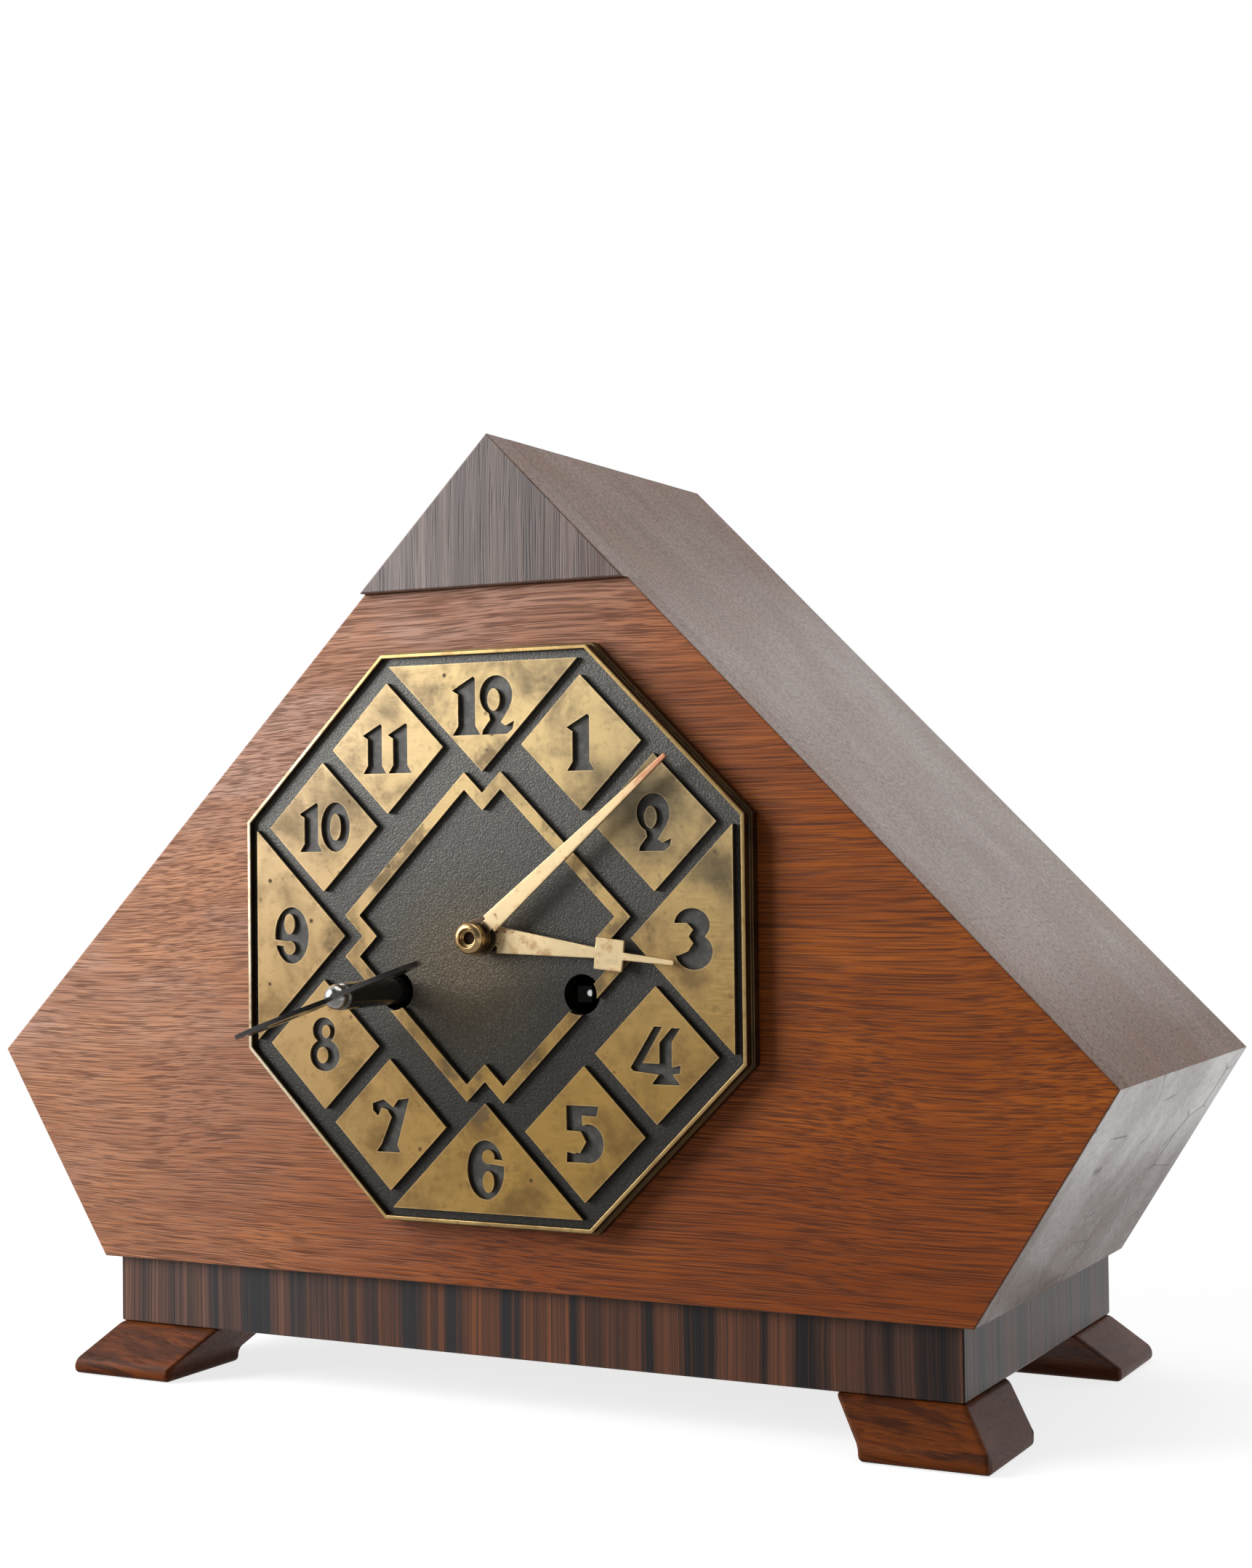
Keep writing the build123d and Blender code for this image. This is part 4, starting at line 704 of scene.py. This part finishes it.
def hand_gold(name, reach, tip):
    """Pale gold hands, red-brown at the base, copper towards the tip of the long one, near black around the
    hub as painted shade.
    """
    made, t = material(name)
    edge_brown = rgb(0.3, 0.14, 0.06)
    base_red = rgb(0.3, 0.1, 0.05)
    patina_brown = rgb(0.46, 0.24, 0.1)
    copper = rgb(0.55, 0.22, 0.12)
    hub_shade_black = rgb(0.05, 0.03, 0.018)
    place = spot_place(t)
    out = off_axis(t, place, CENTRE)
    metal = use(t, METAL, Place=place, Metal=rgb(0.84, 0.66, 0.38), Tarnish=rgb(0.66, 0.44, 0.23),
                Spot=rgb(0.22, 0.1, 0.05), Cloud=0.4, Spots=0.7, Rub=0.3)
    fleck = rise(t, noise(t, place, scale=330.0, detail=3.0, rough=0.6), 0.56, 0.66)
    base = times(t, rise(t, out, 24.0 * MM, 6.0 * MM), fleck)
    colour = blend(t, times(t, edge_wear_and_highlight(t, place, width=0.8 * MM), 0.75), metal["Color"], edge_brown)
    colour = blend(t, times(t, base, 0.8), colour, base_red)
    patina = rise(t, noise(t, place, scale=160.0, detail=5.0, rough=0.7), 0.52, 0.66, top=0.7)
    colour = blend(t, patina, colour, patina_brown)
    uneven = rise(t, noise(t, place, scale=140.0, detail=3.0), 0.35, 0.6)
    red = times(t, rise(t, out, reach * 0.72, reach), plus(t, times(t, uneven, 0.6), 0.4))
    colour = blend(t, times(t, red, tip), colour, copper)
    # Painted shade: near black around the hub, between the nut and the blades.
    colour = blend(t, rise(t, out, 5.8 * MM, 4.8 * MM, top=0.92), colour, hub_shade_black)
    rough = plus(t, metal["Gloss Loss"], 0.3)
    shade(t, colour, rough, metal["Height"], METAL_RELIEF, metallic=0.8)
    return made


def nut_brass():
    """The hand nut: brass, with painted shade in its hollow and on its foot where it meets the hands."""
    made, t = material("hand nut brass")
    hollow_shade_black = rgb(0.05, 0.03, 0.015)
    foot_shade_black = rgb(0.07, 0.04, 0.02)
    place = spot_place(t)
    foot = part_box("hand_nut")[1].y
    metal = use(t, METAL, Place=place, Metal=rgb(0.6, 0.41, 0.19), Tarnish=rgb(0.3, 0.17, 0.07),
                Spot=rgb(0.1, 0.05, 0.02), Cloud=0.6, Spots=0.6, Rub=0.5)
    # Painted shade: the hollow goes near black.
    hollow_shade = rise(t, off_axis(t, place, CENTRE), 1.6 * MM, 1.2 * MM, top=0.85)
    colour = blend(t, hollow_shade, metal["Color"], hollow_shade_black)
    # Painted shade: the foot darkens towards the hands.
    low = rise(t, axes(t, place)[1], foot - 2.2 * MM, foot - 1.2 * MM, top=0.8)
    colour = blend(t, low, colour, foot_shade_black)
    rough = plus(t, metal["Gloss Loss"], 0.2)
    shade(t, colour, rough, metal["Height"], METAL_RELIEF, metallic=0.95)
    return made


def key_steel():
    """The key: blackened steel, with a painted highlight on its boss, and dull along its edges."""
    made, t = material("key steel")
    edge_dull = rgb(0.09, 0.07, 0.055)
    highlight_steel = rgb(0.4, 0.39, 0.37)
    place = spot_place(t)
    metal = use(t, METAL, Place=place, Metal=rgb(0.02, 0.018, 0.017), Tarnish=rgb(0.012, 0.011, 0.01),
                Spot=rgb(0.06, 0.03, 0.015), Cloud=0.6, Spots=0.5, Rub=0.5)
    colour = blend(t, times(t, edge_wear_and_highlight(t, place, width=0.5 * MM), 0.5), metal["Color"], edge_dull)
    # Painted highlight: a pale steel spot on the boss.
    painted_glint = rise(t, away(t, place, BOSS), 4.2 * MM, 3.4 * MM)
    colour = blend(t, painted_glint, colour, highlight_steel)
    rough = plus(t, metal["Gloss Loss"], 0.18)
    metallic = plus(t, times(t, painted_glint, 0.7), 0.3)
    shade(t, colour, rough, metal["Height"], METAL_RELIEF, metallic, Coat_Weight=0.5, Coat_Roughness=0.12)
    return made


def winding_steel():
    """The winding arbors: near-black steel that stands in for the shade inside the winding holes, with a
    painted glint near one corner of the square.
    """
    made, t = material("winding square steel")
    place = spot_place(t)
    # Painted shade: the square is near black, like the inside of its hole.
    metal = use(t, METAL, Place=place, Metal=rgb(0.008, 0.0075, 0.007), Tarnish=rgb(0.005, 0.0045, 0.004),
                Spot=rgb(0.02, 0.01, 0.006), Cloud=0.6, Spots=0.5, Rub=0.5)
    # Painted glint: a pale spot near the square's right corner.
    painted_glint = rise(t, away(t, place, GLINT), 1.0 * MM, 0.5 * MM)
    colour = blend(t, painted_glint, metal["Color"], rgb(0.85, 0.85, 0.83))
    rough = plus(t, metal["Gloss Loss"], 0.3)
    shade(t, colour, rough, metal["Height"], METAL_RELIEF, rise(t, painted_glint, 1.0, 0.0))
    return made


def dress_dial():
    paint(dial_face(), "dial_plate")
    paint(rim_brass(), "dial_rim")
    paint(hand_gold("minute hand gold", reach=72.0 * MM, tip=0.9), "minute_hand")
    paint(hand_gold("hour hand gold", reach=70.0 * MM, tip=0.35), "hour_hand")
    paint(nut_brass(), "hand_nut")
    paint(key_steel(), "winding_key")
    paint(winding_steel(), "time_winding_arbor", "strike_winding_arbor")
    ease(0.18, "dial_plate")
    ease(0.2, "dial_rim", "minute_hand", "hour_hand")
    ease(0.25, "hand_nut")
    ease(0.45, "winding_key")


# Movement and fittings.

def metal_finish(name, tone, tarnish, spot, cloud=0.5, spots=0.4, rub=0.5, dullness=0.28, edge=None):
    """An aged metal with, where edge gives a colour, rubbed edges."""
    made, t = material(name)
    place = spot_place(t)
    metal = use(t, METAL, Place=place, Metal=tone, Tarnish=tarnish, Spot=spot, Cloud=cloud, Spots=spots,
                Rub=rub)
    colour = metal["Color"]
    if edge:
        colour = blend(t, times(t, edge_wear_and_highlight(t, place, width=0.5 * MM), 0.6), colour, edge)
    rough = plus(t, metal["Gloss Loss"], dullness)
    shade(t, colour, rough, metal["Height"], METAL_RELIEF, metallic=1.0)
    return made


def arbor_and_wheel(name, spot):
    """A brass wheel on a steel arbor along the axis through spot, darkened with painted shade where it shows
    in front.
    """
    made, t = material(name)
    place = spot_place(t)
    inside = rise(t, off_axis(t, place, spot), ARBOR_R + ARBOR_FADE, ARBOR_R)
    brass = use(t, METAL, Place=place, Metal=rgb(0.76, 0.55, 0.24), Tarnish=rgb(0.55, 0.37, 0.15),
                Spot=rgb(0.2, 0.12, 0.05), Cloud=0.5, Spots=0.3, Rub=0.6)
    steel = use(t, METAL, Place=place, Metal=rgb(0.5, 0.5, 0.5), Tarnish=rgb(0.3, 0.29, 0.28),
                Spot=rgb(0.12, 0.08, 0.06), Cloud=0.5, Spots=0.4, Rub=0.6)
    colour = blend(t, inside, brass["Color"], steel["Color"])
    # Painted shade: the end of the arbor that shows in front goes near black.
    front_shade = rise(t, axes(t, place)[1], FRONT - 4.0 * MM, FRONT - 6.0 * MM)
    colour = blend(t, front_shade, colour, rgb(0.03, 0.02, 0.014))
    rough = plus(t, times(t, front_shade, 0.3), plus(t, brass["Gloss Loss"], 0.26))
    shade(t, colour, rough, brass["Height"], METAL_RELIEF, metallic=1.0)
    return made


def stand(name, data):
    """A new object in the scene."""
    made = bpy.data.objects.new(name, data)
    bpy.context.scene.collection.objects.link(made)
    return made


def closed_stack(built, rings):
    """A closed solid skinned over rings of points, all rings with the same number of points."""
    loops = [[built.verts.new(point) for point in ring] for ring in rings]
    for low, up in zip(loops, loops[1:]):
        for i in range(len(low)):
            j = (i + 1) % len(low)
            built.faces.new((low[i], low[j], up[j], up[i]))
    built.faces.new(loops[0][::-1])
    built.faces.new(loops[-1])


def screw_heads(name, body, places, finish):
    """Low slotted heads of wood screws that look to the back, one at each place with its slot at a turn."""
    built = bmesh.new()
    start = asin(SLOT_HALF / SCREW_R)
    half = [start + (pi - 2 * start) * i / HEAD_SIDES for i in range(HEAD_SIDES + 1)]
    around = [2 * pi * i / FLOOR_SIDES for i in range(FLOOR_SIDES)]

    def floor_point(a, high):
        return Vector((SLOT_R * cos(a), SCREW_H * high, SLOT_R * sin(a)))

    def head_point(a, inset, high):
        out = SLOT_HALF + (SCREW_R * sin(a) - SLOT_HALF) * inset
        return Vector((SCREW_R * inset * cos(a), SCREW_H * high, out))

    for place, turn in places:
        seat = Matrix.Translation(place) @ Matrix.Rotation(turn, 4, "Y")
        closed_stack(built, [[seat @ floor_point(a, high) for a in around] for high in SLOT_FLOOR])
        for side in (seat, seat @ Matrix.Rotation(pi, 4, "Y")):
            closed_stack(built, [[side @ head_point(a, *ring) for a in half] for ring in HEAD_RINGS])
    bmesh.ops.recalc_face_normals(built, faces=built.faces)
    mesh = bpy.data.meshes.new(name)
    built.to_mesh(mesh)
    built.free()
    mesh.materials.append(finish)
    made = stand(name, mesh)
    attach(made, body)


def hinge_screws(finish):
    """Two screws in each hinge leaf, their slots left as they came to rest."""
    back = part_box("back_panel")[1].y + LEAF_T
    for leaves, body, inward in (("hinge_fixed_leaves", "case", 1), ("hinge_door_leaves", "door", -1)):
        low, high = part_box(leaves)
        middle = (low.x if inward > 0 else high.x) + inward * LEAF_W / 2
        leaf_middles = (low.z + LEAF_H / 2, high.z - LEAF_H / 2)
        heights = [z + step for z in leaf_middles for step in (-SCREW_STEP, SCREW_STEP)]
        places = [(Vector((middle + inward * SCREW_STAGGER * (-1) ** i, back, z)), FIRST_TURN + NEXT_TURN * i)
                  for i, z in enumerate(heights)]
        screw_heads(leaves.replace("leaves", "screws"), body, places, finish)


def dress_movement():
    wheels = ("second_wheel", "centre_wheel", "third_wheel", "escape_wheel", "pin_wheel", "warning_wheel",
              "fly")
    brass = metal_finish("movement brass", rgb(0.76, 0.55, 0.24), rgb(0.55, 0.37, 0.15),
                         rgb(0.2, 0.12, 0.05), spots=0.3, rub=0.9, edge=rgb(0.85, 0.66, 0.34))
    steel = metal_finish("movement steel", rgb(0.5, 0.5, 0.5), rgb(0.3, 0.29, 0.28),
                         rgb(0.14, 0.08, 0.05), edge=rgb(0.65, 0.65, 0.65))
    spring = metal_finish("mainspring steel", rgb(0.28, 0.3, 0.34), rgb(0.15, 0.15, 0.17),
                          rgb(0.1, 0.06, 0.04))
    iron = metal_finish("gong iron", rgb(0.12, 0.12, 0.13), rgb(0.07, 0.06, 0.06),
                        rgb(0.14, 0.07, 0.04), dullness=0.4)
    fitting = metal_finish("fitting brass", rgb(0.56, 0.38, 0.145), rgb(0.22, 0.135, 0.055),
                           rgb(0.07, 0.04, 0.02), cloud=0.8, spots=0.7, dullness=0.34,
                           edge=rgb(0.8, 0.6, 0.3))
    screw = metal_finish("hinge screw steel", rgb(0.2, 0.19, 0.18), rgb(0.1, 0.085, 0.075),
                         rgb(0.09, 0.04, 0.02), cloud=0.7, spots=0.6, dullness=0.36,
                         edge=rgb(0.42, 0.4, 0.38))
    paint(brass, "plate_front", "plate_back", "pillars", "time_barrel", "strike_barrel", "pendulum_bob",
          "minute_wheel", "hour_wheel", "cannon_pinion", "suspension_cock")
    paint(steel, "pillar_nuts", "movement_screws", "dial_bolts", "time_click", "strike_click", "anchor",
          "hammer", "pendulum_rod", "rating_nut")
    paint(spring, "time_mainspring", "strike_mainspring")
    paint(iron, "gong_rod")
    paint(fitting, "hinge_fixed_leaves", "hinge_door_leaves", "door_knob", "turn_button")
    for name in wheels:
        low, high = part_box(name)
        paint(arbor_and_wheel(name.replace("_", " ") + " brass and steel", (low + high) / 2), name)
    paint(screw, "turn_button_screw")
    hinge_screws(screw)
    ease(0.3, "plate_front", "plate_back", "pendulum_bob", "door_knob", "turn_button", "hinge_fixed_leaves",
         "hinge_door_leaves")


# Studio.

def camera():
    ahead = (AIM - EYE).normalized()
    level = ahead.cross(Vector((0, 0, 1))).normalized()
    upright = level.cross(ahead)
    right = cos(LEAN) * level + sin(LEAN) * upright
    up = cos(LEAN) * upright - sin(LEAN) * level
    data = bpy.data.cameras.new("camera")
    data.lens = LENS
    data.sensor_width = SENSOR
    data.sensor_fit = "HORIZONTAL"
    data.clip_start = NEAR_CLIP
    made = stand("camera", data)
    made.matrix_world = Matrix.Translation(EYE) @ Matrix((right, up, -ahead)).transposed().to_4x4()
    bpy.context.scene.camera = made


def lamp(name, place, aim, size, watts):
    data = bpy.data.lights.new(name, "AREA")
    data.shape = "RECTANGLE"
    data.size = size[0]
    data.size_y = size[1]
    data.energy = watts
    made = stand(name, data)
    turn = (Vector(aim) - Vector(place)).to_track_quat("-Z", "Y")
    made.matrix_world = Matrix.Translation(Vector(place)) @ turn.to_matrix().to_4x4()


def pale_floor():
    """White to the camera and in reflections, with the clock's own shadow on it."""
    lit_grey = rgb(0.38, 0.38, 0.38)
    mirrored_grey = rgb(0.4, 0.4, 0.4)
    own_glow = 0.79
    half = FLOOR_HALF
    mesh = bpy.data.meshes.new("floor")
    corners = [(-half, -half, 0), (half, -half, 0), (half, half, 0), (-half, half, 0)]
    mesh.from_pydata(corners, [], [(0, 1, 2, 3)])
    made = stand("floor", mesh)
    made.location.z = -FLOOR_DROP
    finish, t = material("pale floor")
    ray = put(t, "ShaderNodeLightPath").outputs
    mirrored = larger(t, ray["Is Glossy Ray"], ray["Is Transmission Ray"])
    place = spot_place(t)
    x, y, _ = axes(t, place)
    matt = put(t, "ShaderNodeBsdfDiffuse", {"Color": lit_grey}).outputs[0]
    dull = put(t, "ShaderNodeBsdfDiffuse", {"Color": mirrored_grey}).outputs[0]
    glow = put(t, "ShaderNodeEmission", {"Color": WHITE, "Strength": own_glow}).outputs[0]
    white = put(t, "ShaderNodeEmission", {"Color": WHITE, "Strength": 1.0}).outputs[0]
    near = put(t, "ShaderNodeAddShader", {0: matt, 1: glow}).outputs[0]
    far = rise(t, away(t, place, (0.0, 0.0, 0.0)), 0.3, 0.75)
    shown = put(t, "ShaderNodeMixShader", {0: far, 1: near, 2: white}).outputs[0]
    behind = times(t, mirrored, larger(t, rise(t, y, -0.15, 0.05), rise(t, x, 0.15, 0.3)))
    glossed = put(t, "ShaderNodeMixShader", {0: behind, 1: dull, 2: white}).outputs[0]
    mixed = put(t, "ShaderNodeMixShader", {0: ray["Is Camera Ray"], 1: glossed, 2: shown}).outputs[0]
    put(t, "ShaderNodeOutputMaterial", {"Surface": mixed})
    mesh.materials.append(finish)


def studio():
    """A pale room that is brightest behind the clock, a soft window at the left and a lamp overhead."""
    room_front = 0.08
    soft_share = 0.4
    world = bpy.data.worlds.new("studio")
    bpy.context.scene.world = world
    world.use_nodes = True
    t = world.node_tree
    t.nodes.clear()
    way = axes(t, put(t, "ShaderNodeTexCoord").outputs["Generated"])
    behind = rise(t, way[1], -0.5, 0.2)
    ray = put(t, "ShaderNodeLightPath").outputs
    room = plus(t, times(t, behind, 1.0 - room_front), room_front)
    soft = plus(t, times(t, ray["Is Diffuse Ray"], soft_share - 1.0), 1.0)
    level = larger(t, times(t, room, soft), ray["Is Camera Ray"])
    glow = put(t, "ShaderNodeBackground", {"Color": WHITE, "Strength": level}).outputs[0]
    put(t, "ShaderNodeOutputWorld", {"Surface": glow})
    lamp("left window", place=(-0.72, -0.58, 0.5), aim=(0.0, -0.05, 0.15), size=(0.7, 0.75), watts=13.0)
    lamp("overhead", place=(0.1, 0.1, 1.2), aim=(0.0, 0.0, 0.1), size=(1.0, 0.8), watts=4.0)
    bpy.context.scene.view_settings.view_transform = "Standard"


camera()
studio()
pale_floor()
dress_case()
dress_dial()
dress_movement()
